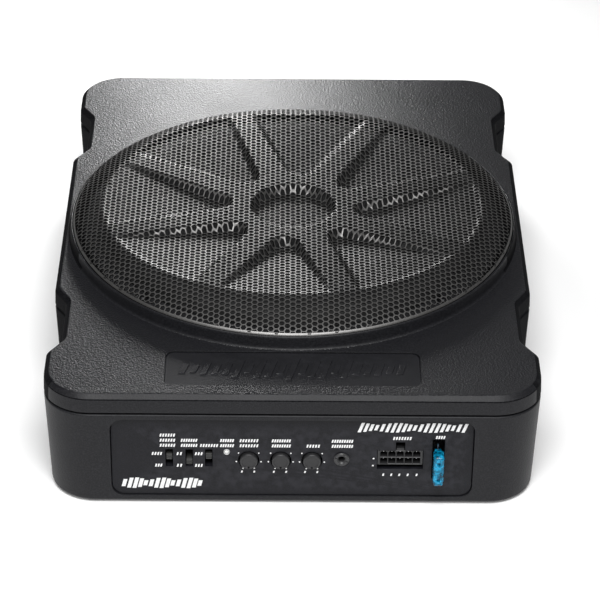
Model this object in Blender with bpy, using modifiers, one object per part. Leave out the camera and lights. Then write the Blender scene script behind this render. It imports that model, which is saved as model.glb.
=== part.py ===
"""Powered under-seat car subwoofer: a flat two-part case with a ten-inch class driver under a
pressed, perforated grille, an amplifier inside and a control panel on the front face.

Lengths below are in millimetres and become metres in the helpers. +Z is up, the control panel
faces -Y, and the origin is on the supporting surface under the centre of the case."""

import math

import bmesh
import bpy
from mathutils import Matrix, Vector

MM = 0.001

# Case
CASE_WIDTH = 266.0
CASE_DEPTH = 360.2
CASE_BOTTOM = 1.2
SEAM_HEIGHT = 59.6
SEAM_GAP = 1.2
COVER_SIDE_TOP = 68.6
DECK_TOP = 71.1
DECK_THICKNESS = 3.0
WALL = 3.0
DRAFT_ANGLE = math.radians(2.2)
CORNER_RADIUS = 25.5
EDGE_ROUND = 2.0
RIM_CHAMFER = 0.6
DECK_CHAMFER = 2.5
CAVITY_HALF_WIDTH = 127.5
CAVITY_HALF_DEPTH = 174.5
CAVITY_CORNER = 22.0
GAP = 0.3

# Side notches, a pair on each long side
NOTCH_Y = 105.4
NOTCH_STRAIGHT = 19.2
NOTCH_MOUTH = 31.0
NOTCH_DEPTH = 7.3

# Driver and grille
DRIVER_Y = -6.0
DRIVER_BORE = 112.0
COLLAR_TOP = 78.7
COLLAR_BASE_RADIUS = 129.4
COLLAR_TOP_RADIUS = 128.0
COLLAR_REBATE_RADIUS = 127.1
COLLAR_INNER_RADIUS = 123.6
GRILLE_LEDGE = 77.0
GRILLE_EDGE_RADIUS = 126.7
GRILLE_EDGE_HEIGHT = 78.5
GRILLE_SHEET = 1.2
SHOULDER_HALF_WIDTH = 110.0
SHOULDER_HALF_DEPTH = 98.5
SHOULDER_REAR_GROWTH = 4.0
SHOULDER_CORNER_GROWTH = 5.0
SHOULDER_HEIGHT = 87.2
SKIRT_SLOPE = 0.55
HUB_RING_HEIGHT = 85.6
HUB_RADIUS = 24.0
POCKET_COUNT = 8
POCKET_FLOOR = 80.9
POCKET_RIM_FLOOR = 86.8
POCKET_APEX = 36.0
POCKET_NOSE = 8.5
SPOKE_HALF_WIDTH = 9.6
SPOKE_FLARE = math.radians(1.8)
STAR_ROTATION = math.radians(-5.5)
POCKET_WALL = 2.8
GRILLE_RINGS = (0.0, 21.0, 24.0, 31.0, 38.0, 50.0, 75.0, 96.0, 108.0, 117.0, 123.5, 126.7)

# Control panel
PANEL_HALF_WIDTH = 96.4
PANEL_BOTTOM = 5.6
PANEL_TOP = 55.7
PANEL_CORNER = 7.0
PANEL_FACE = -177.1
PANEL_BACK = -172.4
PANEL_FLANGE = 1.8
SWITCH_X = (-65.6, -54.9, -44.5)
SWITCH_Z = 29.6
SWITCH_SLOT = (4.1, 11.2)
SWITCH_OFFSET = (0.0, -3.2, 0.4)
LED_PLACE = (-34.9, 33.6)
LED_RADIUS = 1.5
POT_X = (-23.2, -6.1, 10.6)
POT_Z = 28.3
POT_HOLE = 5.7
KNOB_RADIUS = 4.8
KNOB_PROUD = 2.0
KNOB_SLOT_HALF = 0.7
SWITCH_BODY = (4.4, 8.0, 7.0)
SLIDER_HALF = (1.7, 1.9)
POT_BODY = (5.6, 6.0, 8.0)
JACK_PLACE = (26.4, 29.5)
JACK_BARREL = 2.9
JACK_BORE = 1.8
JACK_NUT = 4.1
JACK_NUT_REACH = 1.1
JACK_DEPTH = 10.0
CUTTER_FRONT = -190.0
CUTTER_BACK = -160.0
CONNECTOR_X = 57.7
CONNECTOR_Z = 30.3
CONNECTOR_SIZE = (24.2, 9.2)
CONNECTOR_PITCH = 4.4
CONNECTOR_COLUMNS = 5
CONNECTOR_DEPTH = 14.0
CELL_HALF = 1.75
CELL_DEPTH = 9.0
LATCH_HALF = 2.5
LATCH_TOP = 40.6
LOWER_LIP = 2.6
FUSE_X = 78.0
FUSE_BOTTOM = 17.5
FUSE_TOP = 36.6
FUSE_THICKNESS = 5.2
FUSE_PROUD = 8.7
FUSE_LENGTH = 13.6
FUSE_SLOT_HALF = 3.4
FUSE_SLOT_TOP = 42.4
BLADE_OFFSET = 6.4
BLADE_END = 23.0

# Badge recess on the deck
BADGE_HALF_WIDTH = 68.3
BADGE_HALF_DEPTH = 16.1
BADGE_Y = -152.8
BADGE_DEPTH = 1.6
BADGE_CORNER = 5.0

# Badge relief: slanted bars that swell at the middle
BAR_COUNT = 21
BAR_PITCH = 5.8
BAR_HALF_WIDTH = 1.7
BAR_LEAST_REACH = 3.5
BAR_SWELL = 7.0
BAR_SLANT = 0.25

# Fasteners and feet
SCREW_X = 112.0
SCREW_Y = 159.0
SCREW_HOLE = 2.3
SCREW_SHANK = 1.9
SCREW_HEAD = 3.9
SCREW_HEAD_TOP = 3.0
SCREW_HEAD_HOLE = 4.4
SCREW_END = 64.0
POST_RADIUS = 5.0
LOWER_POST_TOP = 56.0
UPPER_POST_BOTTOM = 57.4
STANDOFF_X = 88.0
STANDOFF_Y = (-150.0, -74.0)
STANDOFF_RADIUS = 3.5
SPEAKER_SCREW_CIRCLE = 117.0
SPEAKER_SCREW_HOLE = 2.1
SPEAKER_SCREW_HEAD_BASE = 74.7
FOOT_X = 92.0
FOOT_Y = 146.0
FOOT_RADIUS = 9.0
FOOT_HEIGHT = 1.9

# Motor and moving parts of the driver
YOKE_RADIUS = 50.0
YOKE_BACK = 8.5
YOKE_PLATE_TOP = 14.5
POLE_RADIUS = 17.5
POLE_TOP = 36.0
VENT_RADIUS = 7.0
MAGNET_INNER = 27.0
MAGNET_OUTER = 54.0
MAGNET_BOTTOM = 14.8
MAGNET_TOP = 29.2
TOP_PLATE_INNER = 21.6
TOP_PLATE_BOTTOM = 29.5
BASKET_SHEET = 1.6
BASKET_FLANGE = 73.5
BASKET_WINDOWS = 6
BASKET_WINDOW_REACH = 85.0
CONE_EDGE = (89.5, 73.6)
CONE_NECK = (20.6, 56.0)
CONE_SHEET = 1.2
CAP_RADIUS = 34.0
CAP_BOTTOM = 61.1
CAP_RISE = 6.2
FORMER_INNER = 19.0
FORMER_OUTER = 19.6
COIL_INNER = 19.9
COIL_OUTER = 20.7
ROLL_CENTRE = 100.0
ROLL_RADIUS = 9.0
ROLL_RISE = 6.4
SURROUND_HEIGHT = 75.2
SPIDER_HEIGHT = 46.6
SPIDER_WAVES = 3
SPIDER_WAVE_START = 24.0
SPIDER_WAVE_END = 54.0
SPIDER_WAVE_RISE = 1.1

# Amplifier
BOARD_LOW = (-100.0, -160.0, 8.2)
BOARD_HIGH = (100.0, -64.5, 9.8)
TOROID_PLACE = (-58.0, -118.0, 17.2)
TOROID_RING = 16.0
TOROID_SECTION = 7.0
CAPACITOR_X = (-22.0, 0.0, 22.0)
CAPACITOR_Y = -104.0
CAPACITOR_RADIUS = 8.0
CAPACITOR_HEIGHT = 28.0
HEATSINK_LEFT = 54.0
HEATSINK_WIDTH = 32.0
HEATSINK_BASE = 5.0
HEATSINK_HEIGHT = 28.0
HEATSINK_LENGTH = 54.0
HEATSINK_Y = -107.0
FIN_COUNT = 6
FIN_PITCH = 5.2
FIN_THICKNESS = 1.6
TRANSISTOR_PITCH = 13.0
TRANSISTOR_START_Y = -126.5

COLOURS = {
    "cast_black": ((0.035, 0.035, 0.037), 0.45, 0.6),
    "panel_black": ((0.028, 0.028, 0.032), 0.4, 0.0),
    "mesh_black": ((0.03, 0.03, 0.03), 0.4, 0.8),
    "rubber_black": ((0.012, 0.012, 0.012), 0.8, 0.0),
    "paper_black": ((0.02, 0.02, 0.022), 0.7, 0.0),
    "spider_tan": ((0.45, 0.33, 0.14), 0.9, 0.0),
    "copper": ((0.72, 0.33, 0.15), 0.35, 1.0),
    "ferrite": ((0.05, 0.05, 0.052), 0.6, 0.2),
    "plated_steel": ((0.55, 0.55, 0.56), 0.3, 1.0),
    "aluminium": ((0.6, 0.6, 0.61), 0.35, 1.0),
    "board_green": ((0.02, 0.13, 0.05), 0.45, 0.0),
    "plastic_black": ((0.02, 0.02, 0.022), 0.45, 0.0),
    "fuse_blue": ((0.01, 0.2, 0.42), 0.15, 0.0),
    "lens_clear": ((0.7, 0.7, 0.68), 0.2, 0.0),
    "foil_sleeve": ((0.04, 0.05, 0.09), 0.35, 0.0),
}


def clear_scene():
    for item in list(bpy.data.objects):
        bpy.data.objects.remove(item, do_unlink=True)


def make_collection(name):
    collection = bpy.data.collections.new(name)
    bpy.context.scene.collection.children.link(collection)
    return collection


def make_materials():
    materials = {}
    for name, (colour, roughness, metallic) in COLOURS.items():
        material = bpy.data.materials.new(name)
        material.use_nodes = True
        shader = material.node_tree.nodes["Principled BSDF"]
        shader.inputs["Base Color"].default_value = (*colour, 1.0)
        shader.inputs["Roughness"].default_value = roughness
        shader.inputs["Metallic"].default_value = metallic
        materials[name] = material
    return materials


clear_scene()
PARTS = make_collection("powered_subwoofer")
CUTTERS = make_collection("cutters")
MATERIALS = make_materials()


# ---------------------------------------------------------------- helpers

def move_to(item, collection):
    for owner in list(item.users_collection):
        owner.objects.unlink(item)
    collection.objects.link(item)


def adopt(item, name, material):
    """Name an object, give it its material and put it with the parts."""
    item.name = name
    item.data.name = name
    item.data.materials.clear()
    item.data.materials.append(MATERIALS[material])
    move_to(item, PARTS)
    return item


def as_cutter(item, name):
    item.name = name
    item.hide_render = True
    item.display_type = "WIRE"
    move_to(item, CUTTERS)
    return item


def boolean(item, tool, operation="DIFFERENCE"):
    if tool.name not in CUTTERS.objects:
        as_cutter(tool, f"{item.name}_{operation.lower()}_{len(item.modifiers)}")
    modifier = item.modifiers.new(operation.title(), "BOOLEAN")
    modifier.operation = operation
    modifier.object = tool
    return item


def apply_scale(item):
    item.data.transform(Matrix.Diagonal((*item.scale, 1.0)))
    item.scale = (1.0, 1.0, 1.0)


def box(low, high):
    """A cube primitive stretched between two corners."""
    centre = [(a + b) / 2.0 * MM for a, b in zip(low, high)]
    bpy.ops.mesh.primitive_cube_add(size=1.0, location=centre)
    item = bpy.context.object
    item.scale = [(b - a) * MM for a, b in zip(low, high)]
    apply_scale(item)
    return item


def cylinder(radius, length, centre, axis="Z", sides=32):
    bpy.ops.mesh.primitive_cylinder_add(radius=radius * MM, depth=length * MM, vertices=sides,
                                        location=[value * MM for value in centre])
    item = bpy.context.object
    if axis == "Y":
        item.rotation_euler = (math.radians(90.0), 0.0, 0.0)
    if axis == "X":
        item.rotation_euler = (0.0, math.radians(90.0), 0.0)
    return item


def bevel(item, width, segments=2, angle=35.0):
    modifier = item.modifiers.new("Bevel", "BEVEL")
    modifier.width = width * MM
    modifier.segments = segments
    modifier.limit_method = "ANGLE"
    modifier.angle_limit = math.radians(angle)
    return item


def smooth(item, angle=35.0):
    item.data.shade_smooth()
    item.data.set_sharp_from_angle(angle=math.radians(angle))
    return item


def turned(profile, centre=(0.0, 0.0, 0.0), steps=32, closed=True):
    """A profile of (radius, height) turned about the vertical through centre.

    A closed profile runs down its outer side; an open one is a skin for Solidify."""
    mesh = bpy.data.meshes.new("turned")
    points = [(radius * MM, 0.0, height * MM) for radius, height in profile]
    edges = [(i, i + 1) for i in range(len(points) - 1)]
    if closed:
        edges.append((len(points) - 1, 0))
    mesh.from_pydata(points, edges, [])
    item = bpy.data.objects.new("turned", mesh)
    item.location = [value * MM for value in centre]
    PARTS.objects.link(item)
    modifier = item.modifiers.new("Screw", "SCREW")
    modifier.steps = steps
    modifier.render_steps = steps
    modifier.use_merge_vertices = True
    modifier.merge_threshold = 0.00005
    modifier.use_smooth_shade = True
    return item


def solidify(item, thickness, offset=0.0):
    modifier = item.modifiers.new("Solidify", "SOLIDIFY")
    modifier.thickness = thickness * MM
    modifier.offset = offset
    modifier.use_even_offset = True
    return item


def arc(centre, radius, start, stop, count):
    """Points of an arc, in degrees, both ends included."""
    angles = [math.radians(start + (stop - start) * i / count) for i in range(count + 1)]
    return [(centre[0] + radius * math.cos(a), centre[1] + radius * math.sin(a)) for a in angles]


def rounded_rectangle(half_width, half_height, radius, count=6):
    points = []
    for quarter, (sx, sy) in enumerate(((1, 1), (-1, 1), (-1, -1), (1, -1))):
        centre = (sx * (half_width - radius), sy * (half_height - radius))
        points += arc(centre, radius, 90.0 * quarter, 90.0 * (quarter + 1), count)
    return points


def flat_shape(outlines, thickness, rotation=None, centre=(0.0, 0.0, 0.0)):
    """A sheet with the given outlines, centred on its plane; inner outlines are holes."""
    curve = bpy.data.curves.new("flat", "CURVE")
    curve.dimensions = "2D"
    curve.fill_mode = "BOTH"
    curve.extrude = thickness / 2.0 * MM
    for outline in outlines:
        spline = curve.splines.new("POLY")
        spline.points.add(len(outline) - 1)
        for point, (x, y) in zip(spline.points, outline):
            point.co = (x * MM, y * MM, 0.0, 1.0)
        spline.use_cyclic_u = True
    source = bpy.data.objects.new("flat", curve)
    PARTS.objects.link(source)
    source.rotation_euler = rotation or (0.0, 0.0, 0.0)
    source.location = [value * MM for value in centre]
    bpy.context.view_layer.update()
    evaluated = source.evaluated_get(bpy.context.evaluated_depsgraph_get())
    mesh = bpy.data.meshes.new_from_object(evaluated)
    shape = bmesh.new()
    shape.from_mesh(mesh)
    bmesh.ops.remove_doubles(shape, verts=shape.verts, dist=0.00001)
    bmesh.ops.recalc_face_normals(shape, faces=shape.faces)
    shape.to_mesh(mesh)
    shape.free()
    item = bpy.data.objects.new("flat", mesh)
    item.matrix_world = source.matrix_world.copy()
    PARTS.objects.link(item)
    bpy.data.objects.remove(source, do_unlink=True)
    return item


def upright(outlines, thickness, centre):
    """A sheet that stands in the XZ plane: its outline's second value is height."""
    return flat_shape(outlines, thickness, (math.radians(90.0), 0.0, 0.0), centre)


def loft(sections):
    """A closed skin through outlines of equal point count, each at its own height."""
    mesh = bpy.data.meshes.new("loft")
    shape = bmesh.new()
    loops = []
    for height, outline in sections:
        loops.append([shape.verts.new((x * MM, y * MM, height * MM)) for x, y in outline])
    for lower, upper in zip(loops, loops[1:]):
        for i in range(len(lower)):
            j = (i + 1) % len(lower)
            shape.faces.new((lower[i], lower[j], upper[j], upper[i]))
    shape.faces.new(list(reversed(loops[0])))
    shape.faces.new(loops[-1])
    bmesh.ops.recalc_face_normals(shape, faces=shape.faces)
    shape.to_mesh(mesh)
    shape.free()
    item = bpy.data.objects.new("loft", mesh)
    PARTS.objects.link(item)
    return item


# ---------------------------------------------------------------- case

def case_outline(half_width, half_depth, corner):
    """The case seen from above: round corners and two notches on each long side."""
    points = []
    notch = ((-NOTCH_MOUTH, 0.0), (-NOTCH_STRAIGHT, NOTCH_DEPTH),
             (NOTCH_STRAIGHT, NOTCH_DEPTH), (NOTCH_MOUTH, 0.0))
    for side in (1, -1):
        start = -90.0 if side > 0 else 90.0
        first = (side * (half_width - corner), -side * (half_depth - corner))
        second = (side * (half_width - corner), side * (half_depth - corner))
        points += arc(first, corner, start, start + 90.0, 6)
        for centre in (-NOTCH_Y, NOTCH_Y):
            for along, inward in notch:
                points.append((side * (half_width - inward), side * (centre + along)))
        points += arc(second, corner, start + 90.0, start + 180.0, 6)
    return points


def outer_outline(height, inset=0.0):
    """The drafted outer wall at a height; the case is widest at the seam."""
    shrink = inset + abs(SEAM_HEIGHT - height) * math.tan(DRAFT_ANGLE)
    return case_outline(CASE_WIDTH / 2.0 - shrink, CASE_DEPTH / 2.0 - shrink,
                        CORNER_RADIUS - shrink)


def cavity(low, high, extra=0.0):
    outline = case_outline(CAVITY_HALF_WIDTH + extra, CAVITY_HALF_DEPTH + extra, CAVITY_CORNER)
    return loft([(low, outline), (high, outline)])


def corner_places(x, y):
    return [(sx * x, sy * y) for sx in (1, -1) for sy in (1, -1)]


def panel_outline(margin=0.0):
    half_height = (PANEL_TOP - PANEL_BOTTOM) / 2.0 + margin
    return rounded_rectangle(PANEL_HALF_WIDTH + margin, half_height, PANEL_CORNER)


def panel_centre_z():
    return (PANEL_TOP + PANEL_BOTTOM) / 2.0


def build_lower_housing():
    rim = SEAM_HEIGHT - SEAM_GAP / 2.0
    floor = CASE_BOTTOM + WALL
    item = loft([(CASE_BOTTOM, outer_outline(CASE_BOTTOM, EDGE_ROUND)),
                 (CASE_BOTTOM + 0.6, outer_outline(CASE_BOTTOM, EDGE_ROUND * 0.35)),
                 (CASE_BOTTOM + EDGE_ROUND, outer_outline(CASE_BOTTOM + EDGE_ROUND)),
                 (rim - RIM_CHAMFER, outer_outline(rim)),
                 (rim, outer_outline(rim, RIM_CHAMFER))])
    adopt(item, "lower_housing", "cast_black")
    boolean(item, cavity(floor, SEAM_HEIGHT + 5.0))
    window = upright([panel_outline(GAP)], 20.0, (0.0, -CASE_DEPTH / 2.0, panel_centre_z()))
    boolean(item, window)
    for x, y in corner_places(SCREW_X, SCREW_Y):
        post = cylinder(POST_RADIUS, LOWER_POST_TOP - floor + 1.0,
                        (x, y, (floor + LOWER_POST_TOP - 1.0) / 2.0), sides=14)
        boolean(item, post, "UNION")
        boolean(item, cylinder(SCREW_HOLE, 80.0, (x, y, 30.0), sides=10))
        boolean(item, cylinder(SCREW_HEAD_HOLE, 4.0, (x, y, CASE_BOTTOM + 0.2), sides=14))
    for x, y in corner_places(FOOT_X, FOOT_Y):
        boolean(item, cylinder(FOOT_RADIUS + GAP, 2.0, (x, y, CASE_BOTTOM), sides=20))
    for x in (-STANDOFF_X, STANDOFF_X):
        for y in STANDOFF_Y:
            standoff = cylinder(STANDOFF_RADIUS, 4.5, (x, y, floor + 1.2), sides=10)
            boolean(item, standoff, "UNION")
    return smooth(item)


def build_upper_housing():
    rim = SEAM_HEIGHT + SEAM_GAP / 2.0
    ceiling = DECK_TOP - DECK_THICKNESS
    item = loft([(rim, outer_outline(rim, RIM_CHAMFER)),
                 (rim + RIM_CHAMFER, outer_outline(rim)),
                 (COVER_SIDE_TOP, outer_outline(COVER_SIDE_TOP)),
                 (DECK_TOP, outer_outline(COVER_SIDE_TOP, DECK_CHAMFER))])
    adopt(item, "upper_housing", "cast_black")
    boolean(item, cavity(SEAM_HEIGHT - 5.0, ceiling, 2.0))
    collar = turned([(COLLAR_TOP_RADIUS, COLLAR_TOP), (COLLAR_TOP_RADIUS + 0.5, DECK_TOP + 1.6),
                     (COLLAR_BASE_RADIUS, DECK_TOP), (COLLAR_BASE_RADIUS, DECK_TOP - 1.0),
                     (COLLAR_INNER_RADIUS, DECK_TOP - 1.0), (COLLAR_INNER_RADIUS, GRILLE_LEDGE),
                     (COLLAR_REBATE_RADIUS, GRILLE_LEDGE), (COLLAR_REBATE_RADIUS, COLLAR_TOP)],
                    (0.0, DRIVER_Y, 0.0), steps=56)
    boolean(item, collar, "UNION")
    boolean(item, cylinder(DRIVER_BORE, 20.0, (0.0, DRIVER_Y, DECK_TOP), sides=48))
    recess = flat_shape([rounded_rectangle(BADGE_HALF_WIDTH, BADGE_HALF_DEPTH, BADGE_CORNER)],
                        2.0 * BADGE_DEPTH, None, (0.0, BADGE_Y, DECK_TOP))
    boolean(item, recess)
    for x, y in corner_places(SCREW_X, SCREW_Y):
        post = cylinder(POST_RADIUS, ceiling - UPPER_POST_BOTTOM + 1.8,
                        (x, y, (ceiling + UPPER_POST_BOTTOM) / 2.0), sides=14)
        boolean(item, post, "UNION")
        boolean(item, cylinder(SCREW_HOLE, 10.0, (x, y, 60.0), sides=10))
    for x, y in speaker_screw_places():
        boolean(item, cylinder(SPEAKER_SCREW_HOLE, 20.0, (x, y, DECK_TOP), sides=12))
    return smooth(item)


def build_housing_gasket():
    outer = outer_outline(SEAM_HEIGHT, 1.6)
    inner = case_outline(CAVITY_HALF_WIDTH + 2.2, CAVITY_HALF_DEPTH + 2.2, CAVITY_CORNER)
    item = flat_shape([outer, inner], SEAM_GAP - 2.0 * GAP, None, (0.0, 0.0, SEAM_HEIGHT))
    return adopt(item, "housing_gasket", "rubber_black")


def build_badge_plate():
    """A plate in the deck recess with a row of raised slanted bars, tallest at the middle."""
    floor = DECK_TOP - BADGE_DEPTH
    inset = 0.4
    outline = rounded_rectangle(BADGE_HALF_WIDTH - inset, BADGE_HALF_DEPTH - inset,
                                BADGE_CORNER - inset)
    item = flat_shape([outline], 0.6, None, (0.0, BADGE_Y, floor + GAP + 0.3))
    adopt(item, "badge_plate", "cast_black")
    bars = []
    for i in range(BAR_COUNT):
        x = (i - (BAR_COUNT - 1) / 2.0) * BAR_PITCH
        swell = math.cos(math.pi * x / 150.0) ** 2 * (0.55 + 0.45 * math.cos(x * 0.42))
        reach = BAR_LEAST_REACH + BAR_SWELL * swell
        half = BAR_HALF_WIDTH
        slant = reach * BAR_SLANT
        bars.append([(x - half - slant, -reach), (x + half - slant, -reach),
                     (x + half + slant, reach), (x - half + slant, reach)])
    relief = flat_shape(bars, 0.9, None, (0.0, BADGE_Y, floor + GAP + 0.75))
    return boolean(item, relief, "UNION")


def build_fasteners():
    head = SCREW_HEAD_TOP
    profile = [(0.0, SCREW_END), (SCREW_SHANK, SCREW_END - 1.0), (SCREW_SHANK, head),
               (SCREW_HEAD, head), (SCREW_HEAD, head - 1.5), (SCREW_HEAD - 0.7, head - 1.75),
               (0.0, head - 1.75)]
    for index, (x, y) in enumerate(corner_places(SCREW_X, SCREW_Y)):
        item = turned(profile, (x, y, 0.0), steps=12, closed=False)
        adopt(item, f"housing_screw_{index + 1}", "plated_steel")
    foot = [(0.0, FOOT_HEIGHT), (FOOT_RADIUS, FOOT_HEIGHT), (FOOT_RADIUS, 0.5),
            (FOOT_RADIUS - 0.5, 0.0), (0.0, 0.0)]
    for index, (x, y) in enumerate(corner_places(FOOT_X, FOOT_Y)):
        item = turned(foot, (x, y, 0.0), steps=20, closed=False)
        adopt(item, f"foot_{index + 1}", "rubber_black")
    head = SPEAKER_SCREW_HEAD_BASE
    profile = [(0.0, head + 1.6), (2.4, head + 1.4), (3.2, head), (1.7, head), (1.7, 66.5), (0.0, 65.5)]
    for index, (x, y) in enumerate(speaker_screw_places()):
        item = turned(profile, (x, y, 0.0), steps=12, closed=False)
        adopt(item, f"speaker_screw_{index + 1}", "plated_steel")


def speaker_screw_places():
    places = []
    for index in range(4):
        angle = math.radians(45.0 + 90.0 * index)
        places.append((SPEAKER_SCREW_CIRCLE * math.cos(angle),
                       DRIVER_Y + SPEAKER_SCREW_CIRCLE * math.sin(angle)))
    return places


# ---------------------------------------------------------------- grille

def ease(value):
    value = min(1.0, max(0.0, value))
    return value * value * (3.0 - 2.0 * value)


def shoulder_radius(angle):
    """The shoulder reaches farther back than forward."""
    half_depth = SHOULDER_HALF_DEPTH + SHOULDER_REAR_GROWTH * (1.0 + math.sin(angle))
    oval = 1.0 / math.hypot(math.cos(angle) / SHOULDER_HALF_WIDTH, math.sin(angle) / half_depth)
    rear = max(0.0, math.sin(angle))
    return oval + SHOULDER_CORNER_GROWTH * rear * abs(math.sin(2.0 * angle))


def pocket_inside(radius, angle, shoulder):
    """How far a point lies inside its pocket, which tapers to a round nose beside the hub."""
    sector = 2.0 * math.pi / POCKET_COUNT
    turn = abs((angle - STAR_ROTATION + sector / 2.0) % sector - sector / 2.0)
    half = sector / 2.0 + SPOKE_FLARE
    centre = (POCKET_NOSE + SPOKE_HALF_WIDTH) / math.sin(half)
    along, across = radius * math.cos(turn) - centre, radius * math.sin(turn)
    if along * math.cos(half) + across * math.sin(half) < 0.0:
        inside = POCKET_NOSE - math.hypot(along, across)
    else:
        inside = radius * math.sin(half - turn) - SPOKE_HALF_WIDTH
    return min(inside, shoulder - 1.0 - radius)


def grille_height(x, y):
    """The grille's upper surface over its own centre: hub, spokes, pockets and skirt."""
    radius = math.hypot(x, y)
    angle = math.atan2(y, x)
    shoulder = shoulder_radius(angle)
    if radius >= shoulder:
        part = min(1.0, (radius - shoulder) / (GRILLE_EDGE_RADIUS - shoulder))
        fall = SKIRT_SLOPE * part + (1.0 - SKIRT_SLOPE) * (1.0 - math.sqrt(1.0 - part ** 2))
        return SHOULDER_HEIGHT - (SHOULDER_HEIGHT - GRILLE_EDGE_HEIGHT) * fall
    top = HUB_RING_HEIGHT + (SHOULDER_HEIGHT - HUB_RING_HEIGHT) * ease(radius / shoulder)
    along = (radius - POCKET_APEX) / (shoulder - POCKET_APEX)
    floor = POCKET_FLOOR + (POCKET_RIM_FLOOR - POCKET_FLOOR) * min(1.0, max(0.0, along))
    pocket = ease(pocket_inside(radius, angle, shoulder) / POCKET_WALL)
    hub = ease((HUB_RADIUS - radius) / POCKET_WALL)
    return top - (top - floor) * pocket - (top - POCKET_FLOOR) * hub


def build_grille():
    """A turned disc pressed to the star relief, as thick as the perforated sheet."""
    item = turned([(radius, 0.0) for radius in GRILLE_RINGS], (0.0, DRIVER_Y, 0.0), steps=56, closed=False)
    bpy.context.view_layer.update()
    evaluated = item.evaluated_get(bpy.context.evaluated_depsgraph_get())
    mesh = bpy.data.meshes.new_from_object(evaluated)
    for vertex in mesh.vertices:
        vertex.co.z = grille_height(vertex.co.x / MM, vertex.co.y / MM) * MM
    shape = bmesh.new()
    shape.from_mesh(mesh)
    bmesh.ops.recalc_face_normals(shape, faces=shape.faces)
    if sum(face.normal.z for face in shape.faces) < 0.0:
        bmesh.ops.reverse_faces(shape, faces=shape.faces)
    lower = bmesh.ops.extrude_face_region(shape, geom=list(shape.faces))
    moved = [element for element in lower["geom"] if isinstance(element, bmesh.types.BMVert)]
    bmesh.ops.translate(shape, verts=moved, vec=Vector((0.0, 0.0, -GRILLE_SHEET * MM)))
    bmesh.ops.recalc_face_normals(shape, faces=shape.faces)
    shape.to_mesh(mesh)
    shape.free()
    grille = bpy.data.objects.new("grille", mesh)
    grille.location = item.location
    PARTS.objects.link(grille)
    bpy.data.objects.remove(item, do_unlink=True)
    return smooth(adopt(grille, "grille", "mesh_black"), 50.0)


# ---------------------------------------------------------------- driver

def driver_turned(name, material, profile, steps=32):
    item = turned(profile, (0.0, DRIVER_Y, 0.0), steps)
    return adopt(item, name, material)


def driver_skin(name, material, profile, thickness, steps=32):
    item = turned(profile, (0.0, DRIVER_Y, 0.0), steps, closed=False)
    return adopt(solidify(item, thickness), name, material)


def ring_profile(inner, outer, low, high):
    return [(outer, high), (outer, low), (inner, low), (inner, high)]


def build_motor():
    yoke = [(POLE_RADIUS, POLE_TOP), (POLE_RADIUS, YOKE_PLATE_TOP), (YOKE_RADIUS, YOKE_PLATE_TOP),
            (YOKE_RADIUS, YOKE_BACK), (VENT_RADIUS, YOKE_BACK), (VENT_RADIUS, POLE_TOP)]
    driver_turned("yoke", "plated_steel", yoke)
    driver_turned("magnet", "ferrite",
                  ring_profile(MAGNET_INNER, MAGNET_OUTER, MAGNET_BOTTOM, MAGNET_TOP))
    driver_turned("top_plate", "plated_steel",
                  ring_profile(TOP_PLATE_INNER, YOKE_RADIUS, TOP_PLATE_BOTTOM, POLE_TOP))


def build_basket():
    flange, shelf, seat = BASKET_FLANGE, 45.0, 37.2
    profile = [(121.0, flange), (110.2, flange), (110.2, 66.0), (104.0, 62.5), (66.0, shelf),
               (57.0, shelf), (57.0, seat), (24.5, seat)]
    item = driver_skin("basket", "cast_black", profile, BASKET_SHEET)
    for index in range(BASKET_WINDOWS):
        angle = 2.0 * math.pi * (index + 0.5) / BASKET_WINDOWS
        reach = BASKET_WINDOW_REACH
        window = box((-12.0, -15.0, 30.0), (12.0, 15.0, 66.0))
        window.rotation_euler = (0.0, 0.0, angle)
        window.location = (reach * math.cos(angle) * MM,
                           (DRIVER_Y + reach * math.sin(angle)) * MM, 48.0 * MM)
        boolean(item, window)
    for x, y in speaker_screw_places():
        boolean(item, cylinder(SPEAKER_SCREW_HOLE, 12.0, (x, y, flange), sides=12))
    gasket = driver_turned("speaker_gasket", "rubber_black", ring_profile(113.0, 120.5, 71.4, 72.4))
    for x, y in speaker_screw_places():
        boolean(gasket, cylinder(SPEAKER_SCREW_HOLE, 12.0, (x, y, 72.0), sides=12))
    return item


def surround_profile():
    """Lip on the cone, half roll, lip on the basket flange."""
    points = [(84.5, 73.65), (89.5, 74.93)]
    for x, y in arc((ROLL_CENTRE, 0.0), ROLL_RADIUS, 180.0, 0.0, 6):
        points.append((x, SURROUND_HEIGHT + y * ROLL_RISE / ROLL_RADIUS))
    points.append((113.0, SURROUND_HEIGHT))
    return points


def spider_profile():
    flat, start, end = SPIDER_HEIGHT, SPIDER_WAVE_START, SPIDER_WAVE_END
    points = [(20.2, flat), (start, flat)]
    steps = 4 * SPIDER_WAVES
    for index in range(1, steps):
        part = index / steps
        rise = SPIDER_WAVE_RISE * math.sin(2.0 * math.pi * SPIDER_WAVES * part)
        points.append((start + (end - start) * part, flat + rise))
    points += [(end, flat), (64.0, flat)]
    return points


def build_cone_assembly():
    driver_skin("cone", "paper_black", [CONE_EDGE, CONE_NECK], CONE_SHEET)
    cap = [(CAP_RADIUS, CAP_BOTTOM)]
    cap_steps = 3
    for index in range(1, cap_steps + 1):
        part = index / cap_steps
        cap.append((CAP_RADIUS * (1.0 - part), CAP_BOTTOM + CAP_RISE * (1.0 - (1.0 - part) ** 2)))
    driver_skin("dust_cap", "paper_black", cap, 0.8)
    driver_turned("coil_former", "aluminium", ring_profile(FORMER_INNER, FORMER_OUTER, 24.0, 55.2))
    driver_turned("voice_coil", "copper", ring_profile(COIL_INNER, COIL_OUTER, 27.0, 39.0))
    driver_skin("surround", "rubber_black", surround_profile(), 0.8)
    driver_skin("spider", "spider_tan", spider_profile(), 0.5, steps=24)


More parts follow.
